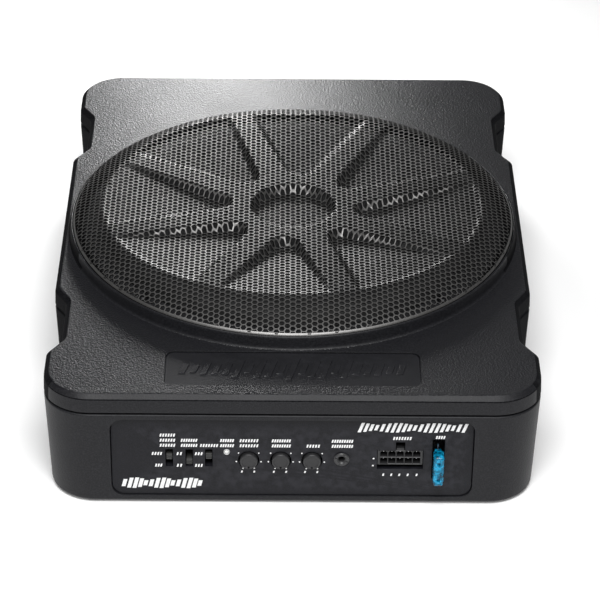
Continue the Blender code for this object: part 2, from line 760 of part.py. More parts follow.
def build_terminal_block():
    item = box((-8.0, DRIVER_Y - 66.0, 37.6), (8.0, DRIVER_Y - 58.5, 43.6))
    return bevel(adopt(item, "terminal_block", "plastic_black"), 0.6, 1)


# ---------------------------------------------------------------- amplifier

def build_amplifier():
    adopt(box(BOARD_LOW, BOARD_HIGH), "circuit_board", "board_green")
    bpy.ops.mesh.primitive_torus_add(major_radius=TOROID_RING * MM,
                                     minor_radius=TOROID_SECTION * MM,
                                     major_segments=24, minor_segments=8,
                                     location=[value * MM for value in TOROID_PLACE])
    adopt(bpy.context.object, "toroid", "copper")
    low = BOARD_HIGH[2] + GAP
    top, radius = low + CAPACITOR_HEIGHT, CAPACITOR_RADIUS
    for index, x in enumerate(CAPACITOR_X):
        profile = [(0.0, top), (radius - 0.6, top), (radius, top - 1.0), (radius, low), (0.0, low)]
        adopt(turned(profile, (x, CAPACITOR_Y, 0.0), steps=16, closed=False),
              f"capacitor_{index + 1}", "foil_sleeve")
    build_heatsink(low)


def build_heatsink(low):
    """A comb of fins on a thick base, with the transistors on its flat side."""
    left, back, right = HEATSINK_LEFT, HEATSINK_LEFT + HEATSINK_BASE, HEATSINK_LEFT + HEATSINK_WIDTH
    points = [(left, 0.0), (left, HEATSINK_HEIGHT), (back, HEATSINK_HEIGHT)]
    for index in range(FIN_COUNT):
        z = HEATSINK_HEIGHT - index * FIN_PITCH
        points += [(right, z), (right, z - FIN_THICKNESS), (back, z - FIN_THICKNESS)]
        if index < FIN_COUNT - 1:
            points.append((back, z - FIN_PITCH))
    points.append((back, 0.0))
    seen = []
    for point in points:
        if point not in seen:
            seen.append(point)
    item = upright([seen], HEATSINK_LENGTH, (0.0, HEATSINK_Y, low))
    adopt(item, "heatsink", "aluminium")
    for index in range(4):
        y = TRANSISTOR_START_Y + index * TRANSISTOR_PITCH
        transistor = box((left - GAP - 4.5, y - 5.0, low + 3.0), (left - GAP, y + 5.0, low + 20.0))
        bevel(adopt(transistor, f"transistor_{index + 1}", "plastic_black"), 0.5, 1)


# ---------------------------------------------------------------- control panel

def build_control_panel():
    back_depth = abs(PANEL_FACE - PANEL_BACK)
    front = upright([panel_outline()], back_depth,
                    (0.0, (PANEL_FACE + PANEL_BACK) / 2.0, panel_centre_z()))
    adopt(front, "control_panel", "panel_black")
    low_x = PANEL_HALF_WIDTH + 2.4
    flange = box((-low_x, PANEL_BACK - PANEL_FLANGE, PANEL_BOTTOM - 0.8),
                 (low_x, PANEL_BACK - 0.1, PANEL_TOP + 1.6))
    boolean(front, flange, "UNION")
    for x in SWITCH_X:
        half, tall = SWITCH_SLOT[0] / 2.0, SWITCH_SLOT[1] / 2.0
        boolean(front, box((x - half, CUTTER_FRONT, SWITCH_Z - tall),
                           (x + half, CUTTER_BACK, SWITCH_Z + tall)))
    for x in POT_X:
        boolean(front, cylinder(POT_HOLE, 30.0, (x, PANEL_FACE, POT_Z), "Y"))
    boolean(front, cylinder(LED_RADIUS + GAP, 30.0, (LED_PLACE[0], PANEL_FACE, LED_PLACE[1]), "Y", 20))
    boolean(front, cylinder(JACK_BARREL + GAP, 30.0, (JACK_PLACE[0], PANEL_FACE, JACK_PLACE[1]), "Y", 24))
    half_x = CONNECTOR_SIZE[0] / 2.0 + GAP
    low_z = CONNECTOR_Z - CONNECTOR_SIZE[1] / 2.0 - LOWER_LIP
    high_z = CONNECTOR_Z + CONNECTOR_SIZE[1] / 2.0 + GAP
    boolean(front, box((CONNECTOR_X - half_x, CUTTER_FRONT, low_z),
                       (CONNECTOR_X + half_x, CUTTER_BACK, high_z)))
    boolean(front, box((CONNECTOR_X - LATCH_HALF, CUTTER_FRONT, high_z - 0.5),
                       (CONNECTOR_X + LATCH_HALF, CUTTER_BACK, LATCH_TOP)))
    boolean(front, box((FUSE_X - FUSE_SLOT_HALF, CUTTER_FRONT, FUSE_BOTTOM - 0.5),
                       (FUSE_X + FUSE_SLOT_HALF, CUTTER_BACK, FUSE_SLOT_TOP)))
    return front


def build_switches():
    half_x, half_z, depth = SWITCH_BODY
    nub_x, nub_z = SLIDER_HALF
    for index, (x, offset) in enumerate(zip(SWITCH_X, SWITCH_OFFSET)):
        body = box((x - half_x, PANEL_BACK + GAP, SWITCH_Z - half_z),
                   (x + half_x, PANEL_BACK + depth, SWITCH_Z + half_z))
        adopt(body, f"switch_body_{index + 1}", "plastic_black")
        boolean(body, box((x - 2.4, PANEL_BACK - 3.0, SWITCH_Z - 6.4),
                          (x + 2.4, PANEL_BACK + 4.0, SWITCH_Z + 6.4)))
        z = SWITCH_Z + offset
        slider = box((x - nub_x, PANEL_FACE + 1.0, z - nub_z), (x + nub_x, PANEL_BACK + 3.6, z + nub_z))
        bevel(adopt(slider, f"switch_slider_{index + 1}", "plastic_black"), 0.4, 1)


def build_pots():
    """Each pot: a square body behind the panel and a knob on the axis of its hole."""
    half_x, half_z, depth = POT_BODY
    for index, x in enumerate(POT_X):
        body = box((x - half_x, PANEL_BACK + GAP, POT_Z - half_z),
                   (x + half_x, PANEL_BACK + depth, POT_Z + half_z))
        bevel(adopt(body, f"pot_body_{index + 1}", "plastic_black"), 0.5, 1)
        front = PANEL_FACE - KNOB_PROUD
        length = PANEL_BACK - front
        knob = cylinder(KNOB_RADIUS, length, (x, front + length / 2.0, POT_Z), "Y", 20)
        adopt(knob, f"knob_{index + 1}", "plastic_black")
        bevel(knob, 0.7, 1)
        boolean(knob, box((x - KNOB_SLOT_HALF, front - 1.0, POT_Z - 4.0),
                          (x + KNOB_SLOT_HALF, front + 1.2, POT_Z + 6.0)))


def build_led():
    x, z = LED_PLACE
    front = PANEL_FACE - 0.8
    profile = [(0.0, 6.0), (LED_RADIUS * 0.55, 5.8), (LED_RADIUS * 0.9, 5.3), (LED_RADIUS, 4.6),
               (LED_RADIUS, 0.0), (0.0, 0.0)]
    item = turned(profile, (x, front + 6.0, z), steps=12, closed=False)
    item.rotation_euler = (math.radians(90.0), 0.0, 0.0)
    return adopt(item, "indicator_led", "lens_clear")


def build_jack():
    """A barrel through the panel with a round nut on the face; the bore is open."""
    x, z = JACK_PLACE
    back = PANEL_BACK + JACK_DEPTH
    length = back - (PANEL_FACE - JACK_NUT_REACH)
    shoulder = length - JACK_NUT_REACH + GAP
    profile = [(JACK_NUT, length), (JACK_NUT, shoulder), (JACK_BARREL, shoulder),
               (JACK_BARREL, 9.6), (5.0, 9.6), (5.0, 0.0),
               (JACK_BORE, 0.0), (JACK_BORE, length)]
    item = turned(profile, (x, back, z), steps=20)
    item.rotation_euler = (math.radians(90.0), 0.0, 0.0)
    return adopt(item, "remote_jack", "plastic_black")


def build_power_connector():
    """A two-row header: ten square sockets open to the front."""
    half_x, half_z = CONNECTOR_SIZE[0] / 2.0, CONNECTOR_SIZE[1] / 2.0
    front = PANEL_FACE + 0.4
    item = box((CONNECTOR_X - half_x, front, CONNECTOR_Z - half_z),
               (CONNECTOR_X + half_x, front + CONNECTOR_DEPTH, CONNECTOR_Z + half_z))
    adopt(item, "power_connector", "plastic_black")
    half = CELL_HALF
    for column in range(CONNECTOR_COLUMNS):
        for row in (-1, 1):
            x = CONNECTOR_X + (column - (CONNECTOR_COLUMNS - 1) / 2.0) * CONNECTOR_PITCH
            z = CONNECTOR_Z + row * CONNECTOR_PITCH / 2.0
            boolean(item, box((x - half, front - 2.0, z - half),
                              (x + half, front + CELL_DEPTH, z + half)))
    return item


def build_fuse():
    front = PANEL_FACE - FUSE_PROUD
    half = FUSE_THICKNESS / 2.0
    holder = box((FUSE_X - 5.2, PANEL_BACK + GAP, FUSE_BOTTOM - 2.6),
                 (FUSE_X + 5.2, PANEL_BACK + 14.0, 44.4))
    adopt(holder, "fuse_holder", "plastic_black")
    boolean(holder, box((FUSE_X - 3.3, PANEL_BACK - 3.0, FUSE_BOTTOM - 0.4),
                        (FUSE_X + 3.3, PANEL_BACK + 12.0, 42.3)))
    body = box((FUSE_X - half, front, FUSE_BOTTOM), (FUSE_X + half, front + FUSE_LENGTH, FUSE_TOP))
    bevel(adopt(body, "fuse_body", "fuse_blue"), 0.9, 2)
    centre = (FUSE_BOTTOM + FUSE_TOP) / 2.0
    for index, side in enumerate((-1, 1)):
        z = centre + side * BLADE_OFFSET
        blade = box((FUSE_X - 0.35, front + FUSE_LENGTH + GAP, z - 2.6),
                    (FUSE_X + 0.35, front + BLADE_END, z + 2.6))
        adopt(blade, f"fuse_blade_{index + 1}", "plated_steel")


def main():
    build_lower_housing()
    build_upper_housing()
    build_housing_gasket()
    build_badge_plate()
    build_fasteners()
    build_grille()
    build_motor()
    build_basket()
    build_cone_assembly()
    build_terminal_block()
    build_amplifier()
    build_control_panel()
    build_switches()
    build_pots()
    build_led()
    build_jack()
    build_power_connector()
    build_fuse()


main()
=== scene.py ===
"""Powered car subwoofer: case, perforated grille, driver, amplifier parts and control panel.

Sizes are in millimetres and become metres where a mesh is made. +Z is up and the control panel
faces -Y. Every piece is made round the CAD node that it stands for."""

import math
from contextlib import contextmanager

import bmesh
import bpy
from mathutils import Matrix, Vector
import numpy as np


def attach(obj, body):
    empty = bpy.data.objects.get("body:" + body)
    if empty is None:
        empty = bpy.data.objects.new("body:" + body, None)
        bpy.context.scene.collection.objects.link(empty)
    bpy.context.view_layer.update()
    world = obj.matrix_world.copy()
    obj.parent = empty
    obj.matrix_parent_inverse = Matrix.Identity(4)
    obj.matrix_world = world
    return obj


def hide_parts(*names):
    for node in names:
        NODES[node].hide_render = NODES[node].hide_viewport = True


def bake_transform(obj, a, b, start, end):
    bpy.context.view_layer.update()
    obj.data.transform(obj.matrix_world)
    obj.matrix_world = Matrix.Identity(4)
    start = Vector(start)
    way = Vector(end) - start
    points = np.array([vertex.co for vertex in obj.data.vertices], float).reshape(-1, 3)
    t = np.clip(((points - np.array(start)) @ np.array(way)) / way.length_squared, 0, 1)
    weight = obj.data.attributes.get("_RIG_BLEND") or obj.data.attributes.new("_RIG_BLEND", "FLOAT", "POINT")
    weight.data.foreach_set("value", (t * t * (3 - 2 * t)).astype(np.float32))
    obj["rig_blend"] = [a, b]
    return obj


bl_info = {
    "name": "Powered Subwoofer",
    "version": (1, 0, 0),
    "blender": (4, 5, 0),
    "location": "View3D > Sidebar > Subwoofer",
    "description": "Builds the case, grille, driver and controls of a slim powered subwoofer",
    "category": "Add Mesh",
}

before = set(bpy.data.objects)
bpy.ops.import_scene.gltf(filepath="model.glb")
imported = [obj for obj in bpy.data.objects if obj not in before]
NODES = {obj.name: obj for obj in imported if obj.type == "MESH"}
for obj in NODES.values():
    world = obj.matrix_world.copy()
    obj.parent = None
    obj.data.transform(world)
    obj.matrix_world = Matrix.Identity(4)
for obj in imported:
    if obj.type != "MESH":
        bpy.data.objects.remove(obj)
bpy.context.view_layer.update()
MM = 0.001
FULL_TURN = 2.0 * math.pi

# Case, as in the CAD
CASE_HALF_WIDTH = 133.0
CASE_HALF_DEPTH = 180.1
CASE_BOTTOM = 1.2
SEAM_HEIGHT = 59.6
RIM_GAP = 0.6
COVER_SIDE_TOP = 68.6
DECK_TOP = 71.1
DECK_UNDERSIDE = 68.1
FLOOR_TOP = 4.2
DRAFT = math.tan(math.radians(2.2))
CORNER_RADIUS = 25.5
CAVITY_HALF_WIDTH = 127.5
CAVITY_HALF_DEPTH = 174.5
CAVITY_CORNER = 22.0
NOTCH_Y = 105.4
NOTCH_STRAIGHT = 19.2
NOTCH_MOUTH = 31.0
NOTCH_DEPTH = 7.3
SCREW_PLACES = [(sx * 112.0, sy * 159.0) for sx in (1, -1) for sy in (1, -1)]
FOOT_PLACES = [(sx * 92.0, sy * 146.0) for sx in (1, -1) for sy in (1, -1)]
STANDOFF_PLACES = [(x, y) for x in (-88.0, 88.0) for y in (-150.0, -74.0)]
SCREW_BOSS_RADIUS = 5.0
SCREW_BORE_RADIUS = 2.3
SCREW_HEAD_POCKET_RADIUS = 4.4
FOOT_POCKET_RADIUS = 9.3
STANDOFF_RADIUS = 3.5

# Driver and grille
DRIVER_Y = -6.0
DRIVER_BORE = 112.0
GRILLE_LEDGE = 77.0
GRILLE_EDGE_RADIUS = 126.7
GRILLE_EDGE_HEIGHT = 78.5
SHOULDER_HALF_WIDTH = 110.0
SHOULDER_HALF_DEPTH = 98.5
SHOULDER_REAR_GROWTH = 4.0
SHOULDER_CORNER_GROWTH = 5.0
SHOULDER_HEIGHT = 87.2
SKIRT_SLOPE = 0.55
HUB_RING_HEIGHT = 85.6
HUB_RADIUS = 24.0
POCKET_FLOOR = 80.9
POCKET_RIM_FLOOR = 86.8
POCKET_APEX = 36.0
POCKET_NOSE = 8.5
POCKET_WALL = 2.8
SPOKE_HALF_WIDTH = 9.6
SPOKE_FLARE = math.radians(1.8)
SECTOR = FULL_TURN / 8
STAR_ROTATION = math.radians(-5.5)
SPEAKER_SCREW_REACH = 117.0
SPEAKER_SCREW_BORE = 2.1
SPEAKER_SCREWS = [(SPEAKER_SCREW_REACH * math.cos(math.radians(a)),
                   DRIVER_Y + SPEAKER_SCREW_REACH * math.sin(math.radians(a)))
                  for a in (45, 135, 225, 315)]

# Control panel
PANEL_HALF_WIDTH = 96.4
PANEL_BOTTOM = 5.6
PANEL_TOP = 55.7
PANEL_CORNER = 7.0
PANEL_FACE = -177.1
PANEL_BACK = -172.4
INK_FRONT = PANEL_FACE - 0.03
INK_BACK = PANEL_FACE + 0.02
FLANGE_HALF_WIDTH = 98.8
SWITCH_MOUTH = (2.05, 5.6)
POT_MOUTH_RADIUS = 5.7
LED_MOUTH_RADIUS = 1.8
JACK_MOUTH_RADIUS = 3.2
FUSE_MOUTH_HALF_WIDTH = 3.4
FUSE_MOUTH_TOP = 42.4
GAP = 0.3
SWITCHES = (("turn_on", -65.6, 29.6), ("input_level", -54.9, 26.4), ("phase", -44.5, 30.0))
SWITCH_Z = 29.6
POTS = (("bass_boost", -23.2), ("crossover", -6.1), ("gain", 10.6))
POT_Z = 28.3
LED = (-34.9, 33.6)
JACK = (26.4, 29.5)
CONNECTOR = (57.7, 30.3)
CONNECTOR_HALF = (12.1, 4.6)
CELL_PITCH = 4.4
FUSE_X = 78.0
FUSE_Z = (17.5, 36.6)
FUSE_HEAD_HALF_WIDTH = 2.85
FUSE_BODY_HALF_WIDTH = 1.95
FUSE_STANDS_OUT = 8.7
KNOB_STANDS_OUT = 2.0
NUB_HALF = (1.7, 1.9)
BADGE_Y = -152.8
BADGE_HALF = (68.3, 16.1)
BADGE_CORNER = 5.0
BADGE_DEPTH = 1.6


# ---------------------------------------------------------------- shader maths

class Shade:
    """One socket of a material. Sums, differences and products of it add Math nodes."""

    def __init__(self, finish, socket):
        self.finish = finish
        self.socket = socket

    def __add__(self, other):
        return self.finish.maths("ADD", self, other)

    def __sub__(self, other):
        return self.finish.maths("SUBTRACT", self, other)

    def __rsub__(self, other):
        return self.finish.maths("SUBTRACT", other, self)

    def __mul__(self, other):
        return self.finish.maths("MULTIPLY", self, other)

    __radd__ = __add__
    __rmul__ = __mul__

    def between(self, low, high):
        """0 below low, 1 above high and an eased rise between them."""
        return self.finish.add("ShaderNodeMapRange", {"interpolation_type": "SMOOTHSTEP"},
                               {"Value": self, "From Min": low, "From Max": high})


class Finish:
    """A material round one Principled shader, with the constants of its sockets given by name."""

    def __init__(self, name, **constants):
        self.material = bpy.data.materials.new(name)
        self.material.use_nodes = True
        self.tree = self.material.node_tree
        self.shader = self.tree.nodes["Principled BSDF"]
        for key, value in constants.items():
            self.shader.inputs[key.replace("_", " ")].default_value = value

    def add(self, kind, settings=None, sockets=None, out=0):
        """A node with its settings first, then its sockets' values or links."""
        node = self.tree.nodes.new(kind)
        for key, value in (settings or {}).items():
            setattr(node, key, value)
        for key, value in (sockets or {}).items():
            if isinstance(value, Shade):
                self.tree.links.new(value.socket, node.inputs[key])
            else:
                node.inputs[key].default_value = value
        return Shade(self, node.outputs[out])

    def maths(self, operation, first, second):
        return self.add("ShaderNodeMath", {"operation": operation}, {0: first, 1: second})

    def place(self, scale=(1.0, 1.0, 1.0), turn=(0.0, 0.0, 0.0)):
        """Object coordinates, stretched and turned."""
        if not hasattr(self, "coordinates"):
            self.coordinates = self.add("ShaderNodeTexCoord", out="Object")
        if scale == (1.0, 1.0, 1.0) and turn == (0.0, 0.0, 0.0):
            return self.coordinates
        return self.add("ShaderNodeMapping", None,
                        {"Vector": self.coordinates, "Scale": scale, "Rotation": turn})

    def noise(self, size, detail=2.0, rough=0.5, place=None):
        """Noise whose blotches are about size millimetres across."""
        return self.add("ShaderNodeTexNoise", None,
                        {"Vector": place or self.place(), "Scale": 1.0 / (size * MM),
                         "Detail": detail, "Roughness": rough})

    def cells(self, size, place=None, feature="F1"):
        return self.add("ShaderNodeTexVoronoi", {"feature": feature},
                        {"Vector": place or self.place(), "Scale": 1.0 / (size * MM)})

    def mix(self, share, first, second):
        """Two colours, mixed by a share."""
        colour = [(*c, 1.0) if isinstance(c, tuple) else c for c in (first, second)]
        return self.add("ShaderNodeMix", {"data_type": "RGBA"},
                        {"Factor": share, 6: colour[0], 7: colour[1]}, out=2)

    def edges(self, low=0.52, high=0.62):
        """1 on worn outer edges, 0 on faces."""
        return self.add("ShaderNodeNewGeometry", out="Pointiness").between(low, high)

    def feed(self, **sockets):
        for key, value in sockets.items():
            self.tree.links.new(value.socket, self.shader.inputs[key.replace("_", " ")])
        return self

    def bump(self, height, depth, strength=1.0):
        """Relief of about depth millimetres."""
        node = self.add("ShaderNodeBump", None,
                        {"Height": height, "Distance": depth * MM, "Strength": strength})
        return self.feed(Normal=node)


def textured_coat(name, colour, grain, depth, rough, **constants):
    """Fine-grained black coat: grain, faint blotches of gloss and slightly rubbed edges."""
    finish = Finish(name, **constants)
    fine = finish.noise(grain, 3.0, 0.6)
    pits = finish.cells(grain * 1.5)
    broad = finish.noise(38.0, 4.0)
    rubbed = finish.edges() * finish.noise(4.0, 3.0).between(0.35, 0.7)
    lighter = tuple(c * 1.9 + 0.004 for c in colour)
    worn = tuple(c * 3.2 + 0.012 for c in colour)
    speckled = finish.mix(fine.between(0.38, 0.72), colour, lighter)
    finish.feed(Base_Color=finish.mix(rubbed * 0.5, speckled, worn),
                Roughness=rough + (fine - 0.5) * 0.16 + (broad - 0.5) * 0.12 - rubbed * 0.08)
    return finish.bump(fine * 0.7 + pits * 0.5, depth).material


def make_finishes():
    """Every material of the object, by name."""
    look = bpy.context.scene.subwoofer_finish
    coat = tuple(look.coat_colour)
    panel = tuple(look.panel_colour)
    blue = tuple(look.fuse_colour)
    ink = tuple(look.ink_colour)
    made = {}
    made["deck_coat"] = textured_coat("deck_coat", coat, 0.8, 0.32, 0.36)
    made["wall_coat"] = textured_coat("wall_coat", coat, 0.8, 0.1, 0.5, Specular_IOR_Level=0.24)
    # A darker, duller copy of the coat: painted shade for faces in shadow under the grille, in the notches,
    # at the sides and under the chamfer.
    made["painted_shade_coat"] = textured_coat("painted_shade_coat", tuple(c * 0.5 for c in coat), 0.8, 0.1, 0.75,
                                       Specular_IOR_Level=0.05)
    made["panel_coat"] = textured_coat("panel_coat", panel, 0.45, 0.025, 0.5, Specular_IOR_Level=0.25)
    made["badge_coat"] = textured_coat("badge_coat", coat, 0.5, 0.02, 0.32)

    # The second paint is near black and barely reflects: painted shade on the walls of the holes and the
    # sheet's cut edges.
    for name, shade, gloss, flakes in (("grille_paint", 0.21, 1.0, 0.9),
                                       ("painted_hole_shade", 0.003, 0.1, 0.0)):
        paint = Finish(name, Specular_IOR_Level=gloss, Metallic=flakes)
        drops = paint.noise(0.7, 2.0)
        sheen = paint.noise(24.0, 3.0)
        dark, warm = (shade * 0.5,) * 3, (shade * 1.2, shade * 1.17, shade * 1.14)
        paint.feed(Base_Color=paint.mix(drops, dark, warm),
                   Roughness=0.34 + drops * 0.14 + sheen * 0.1)
        made[name] = paint.bump(drops, 0.03).material

    rubber = Finish("moulded_rubber")
    bloom = rubber.noise(9.0, 5.0)
    grit = rubber.noise(0.35, 2.0)
    rubber.feed(Base_Color=rubber.mix(bloom.between(0.3, 0.75), (0.007, 0.007, 0.007),
                                      (0.018, 0.018, 0.019)),
                Roughness=0.68 + grit * 0.2)
    made["moulded_rubber"] = rubber.bump(grit + bloom * 0.3, 0.05).material

    pulp = Finish("cone_paper")
    fibres = pulp.noise(1.1, 5.0, 0.65, pulp.place((1.0, 1.0, 3.0)))
    tufts = pulp.noise(7.0, 4.0)
    pulp.feed(Base_Color=pulp.mix(fibres.between(0.4, 0.75), (0.005, 0.005, 0.0055),
                                  (0.018, 0.018, 0.019)),
              Roughness=0.6 + tufts * 0.25)
    made["cone_paper"] = pulp.bump(fibres, 0.12).material

    cloth = Finish("spider_cloth")
    threads = [cloth.add("ShaderNodeTexWave", {"wave_type": "BANDS", "bands_direction": way},
                         {"Vector": cloth.place(), "Scale": 320.0, "Distortion": 0.6, "Detail": 1.0},
                         out="Fac") for way in ("X", "Y")]
    weave = threads[0] * threads[1]
    cloth.feed(Base_Color=cloth.mix(weave, (0.20, 0.13, 0.05), (0.52, 0.38, 0.16)),
               Roughness=0.9 - weave * 0.12)
    made["spider_cloth"] = cloth.bump(weave, 0.12).material

    wire = Finish("copper_wire", Metallic=1.0)
    turns = wire.add("ShaderNodeTexWave", {"bands_direction": "Z"},
                     {"Vector": wire.place(), "Scale": 420.0, "Distortion": 0.3}, out="Fac")
    wire.feed(Base_Color=wire.mix(wire.noise(3.0, 3.0), (0.60, 0.24, 0.10), (0.85, 0.42, 0.20)),
              Roughness=0.25 + turns * 0.2)
    made["copper_wire"] = wire.bump(turns, 0.15).material

    ferrite = Finish("ferrite")
    grains = ferrite.noise(0.5, 4.0)
    chips = ferrite.edges() * ferrite.noise(3.0, 3.0)
    ferrite.feed(Base_Color=ferrite.mix(grains + chips * 0.5, (0.03, 0.03, 0.033), (0.10, 0.10, 0.105)),
                 Roughness=0.55 + grains * 0.2)
    made["ferrite"] = ferrite.bump(grains, 0.08).material

    for name, colour, rough in (("plated_steel", (0.55, 0.55, 0.57), 0.24),
                                ("drawn_aluminium", (0.60, 0.60, 0.62), 0.32),
                                ("blackened_steel", (0.05, 0.05, 0.052), 0.34)):
        metal = Finish(name, Metallic=1.0)
        brushed = metal.noise(0.6, 3.0, 0.6, metal.place((1.0, 1.0, 0.12)))
        stains = metal.noise(6.0, 4.0)
        metal.feed(Base_Color=metal.mix(stains, tuple(c * 0.82 for c in colour), colour),
                   Roughness=rough + brushed * 0.18 + stains * 0.08)
        made[name] = metal.bump(brushed, 0.01).material

    basket = Finish("basket_enamel")
    orange_peel = basket.noise(2.2, 2.0)
    basket.feed(Base_Color=basket.mix(orange_peel, (0.014, 0.014, 0.015), (0.03, 0.03, 0.032)),
                Roughness=0.34 + orange_peel * 0.16)
    made["basket_enamel"] = basket.bump(orange_peel, 0.06).material

    board = Finish("board_mask")
    traces = board.add("ShaderNodeTexBrick", {"offset": 0.5, "squash": 1.0},
                       {"Vector": board.place(), "Scale": 140.0, "Mortar Size": 0.08, "Bias": -0.2},
                       out="Fac")
    haze = board.noise(12.0, 3.0)
    board.feed(Base_Color=board.mix(traces, (0.012, 0.09, 0.035), (0.03, 0.17, 0.07)),
               Roughness=0.32 + haze * 0.18)
    made["board_mask"] = board.bump(traces, 0.05).material

    for name, colour, rough in (("moulded_plastic", (0.012, 0.012, 0.013), 0.42),
                                ("nub_plastic", (0.028, 0.028, 0.027), 0.42),
                                ("nut_plastic", (0.022, 0.022, 0.023), 0.38),
                                ("bezel_plastic", (0.42, 0.42, 0.42), 0.3),
                                ("sleeve_foil", (0.02, 0.03, 0.07), 0.3)):
        plastic = Finish(name)
        spark = plastic.noise(0.3, 2.0)
        cloudy = plastic.noise(5.0, 3.0)
        rubbed = plastic.edges(0.51, 0.58)
        lighter = tuple(c * 1.5 + 0.006 for c in colour)
        plastic.feed(Base_Color=plastic.mix(cloudy * 0.6 + rubbed * 0.4, colour, lighter),
                     Roughness=rough + spark * 0.14 - rubbed * 0.1)
        made[name] = plastic.bump(spark, 0.02).material

    for name, colour, clear, rough, size, deep in (
            ("fuse_plastic", blue, 0.2, 0.12, 2.6, 0.22),
            ("lens_plastic", (0.82, 0.82, 0.80), 0.15, 0.2, 0.8, 0.8)):
        glassy = Finish(name, Transmission_Weight=clear, IOR=1.5, Specular_IOR_Level=0.3)
        swirl_and_highlights = glassy.noise(size, 3.0, 0.6)
        darker = tuple(c * deep for c in colour)
        painted_highlight = tuple(min(1.0, c * 2.2 + 0.01) for c in colour)
        body = glassy.mix(swirl_and_highlights.between(0.36, 0.5), darker, colour)
        # The pale patches laid by this noise are painted highlights on the clear plastic; the darker patches
        # are swirls in it.
        glassy.feed(Base_Color=glassy.mix(swirl_and_highlights.between(0.52, 0.64), body, painted_highlight),
                    Roughness=rough + swirl_and_highlights * 0.12)
        made[name] = glassy.bump(swirl_and_highlights, 0.06).material

    print_ink = Finish("panel_ink")
    patchy = print_ink.noise(0.5, 4.0)
    dimmer = tuple(c * 0.82 for c in ink)
    print_ink.feed(Base_Color=print_ink.mix(patchy.between(0.3, 0.6), dimmer, ink),
                   Roughness=0.5 + patchy * 0.2)
    made["panel_ink"] = print_ink.bump(patchy, 0.01).material
    return made


FINISHES = {}


# ---------------------------------------------------------------- modelling helpers

def only(item):
    """Deselect everything and select this object alone."""
    bpy.ops.object.select_all(action="DESELECT")
    item.select_set(True)
    bpy.context.view_layer.objects.active = item
    return item


@contextmanager
def picked(item, kind, test=lambda part: True):
    """Edit mode with only the vertices, edges or faces selected that pass the test."""
    only(item)
    bpy.ops.object.mode_set(mode="EDIT")
    bpy.ops.mesh.select_mode(type=kind)
    bpy.ops.mesh.select_all(action="DESELECT")
    shape = bmesh.from_edit_mesh(item.data)
    for part in {"VERT": shape.verts, "EDGE": shape.edges, "FACE": shape.faces}[kind]:
        if test(part):
            part.select_set(True)
    shape.select_flush_mode()
    bmesh.update_edit_mesh(item.data)
    yield
    bpy.ops.object.mode_set(mode="OBJECT")


def middle(part):
    """The middle of a vertex, edge or face, in millimetres."""
    if isinstance(part, bmesh.types.BMVert):
        return part.co / MM
    if isinstance(part, bmesh.types.BMEdge):
        return (part.verts[0].co + part.verts[1].co) / (2.0 * MM)
    return part.calc_center_median() / MM


def near(a, b, reach=0.05):
    return abs(a - b) < reach


def level(place, reach=0.05, axis=2):
    """A test for edges whose two ends lie at one place on an axis, as a rule at one height."""
    return lambda edge: all(near(v.co[axis] / MM, place, reach) for v in edge.verts)


def facing(axis, place):
    """A test for faces whose middle lies at one place on an axis."""
    return lambda face: near(middle(face)[axis], place)


def sharp(edge, angle=30.0):
    return len(edge.link_faces) == 2 and edge.calc_face_angle() > math.radians(angle)


def modify(item, kind, **settings):
    """Add a modifier and apply it."""
    only(item)
    modifier = item.modifiers.new(kind.title(), kind)
    for key, value in settings.items():
        setattr(modifier, key, value)
    bpy.ops.object.modifier_apply(modifier=modifier.name)
    return item


def combine(item, tool, operation):
    modify(item, "BOOLEAN", operation=operation, object=tool, solver="EXACT")
    bpy.data.objects.remove(tool)
    return item


def cut(item, *tools):
    for tool in tools:
        combine(item, tool, "DIFFERENCE")
    return item


def fuse_on(item, *tools):
    for tool in tools:
        combine(item, tool, "UNION")
    return item


def round_edges(item, width, segments=2, test=sharp):
    """Bevel the edges that pass the test."""
    with picked(item, "EDGE", test):
        bpy.ops.mesh.bevel(offset=width * MM, segments=segments, affect="EDGES", clamp_overlap=True)
    return item


def settle(item):
    """Bring the object to the origin, unturned and unscaled, with its place in its mesh."""
    only(item)
    bpy.ops.object.transform_apply(location=True, rotation=True, scale=True)
    return item


def block(low, high):
    """A box between two corners."""
    bpy.ops.object.select_all(action="DESELECT")
    bpy.ops.mesh.primitive_cube_add(size=1.0, location=[(a + b) / 2.0 * MM for a, b in zip(low, high)])
    item = bpy.context.object
    item.scale = [(b - a) * MM for a, b in zip(low, high)]
    return settle(item)


def through(x, z, half_x, half_z, front, back):
    """A box that runs from front to back round a place on the control panel."""
    return block((x - half_x, front, z - half_z), (x + half_x, back, z + half_z))


def round_block(low, high, corner, axis, segments=6):
    """A box whose edges along one axis are rounded."""
    item = block(low, high)

    def along(edge):
        run = edge.verts[1].co - edge.verts[0].co
        return abs(run[axis]) > 0.99 * run.length

    return round_edges(item, corner, segments, along)


def rod(radius, low, high, centre, axis=2, sides=32):
    """A cylinder between two places on its axis; centre gives the other two coordinates."""
    place = list(centre)
    place.insert(axis, (low + high) / 2.0)
    turn = {0: (0.0, math.pi / 2.0, 0.0), 1: (math.pi / 2.0, 0.0, 0.0), 2: (0.0, 0.0, 0.0)}[axis]
    bpy.ops.object.select_all(action="DESELECT")
    bpy.ops.mesh.primitive_cylinder_add(radius=radius * MM, depth=(high - low) * MM, vertices=sides,
                                        location=[c * MM for c in place], rotation=turn)
    return settle(bpy.context.object)


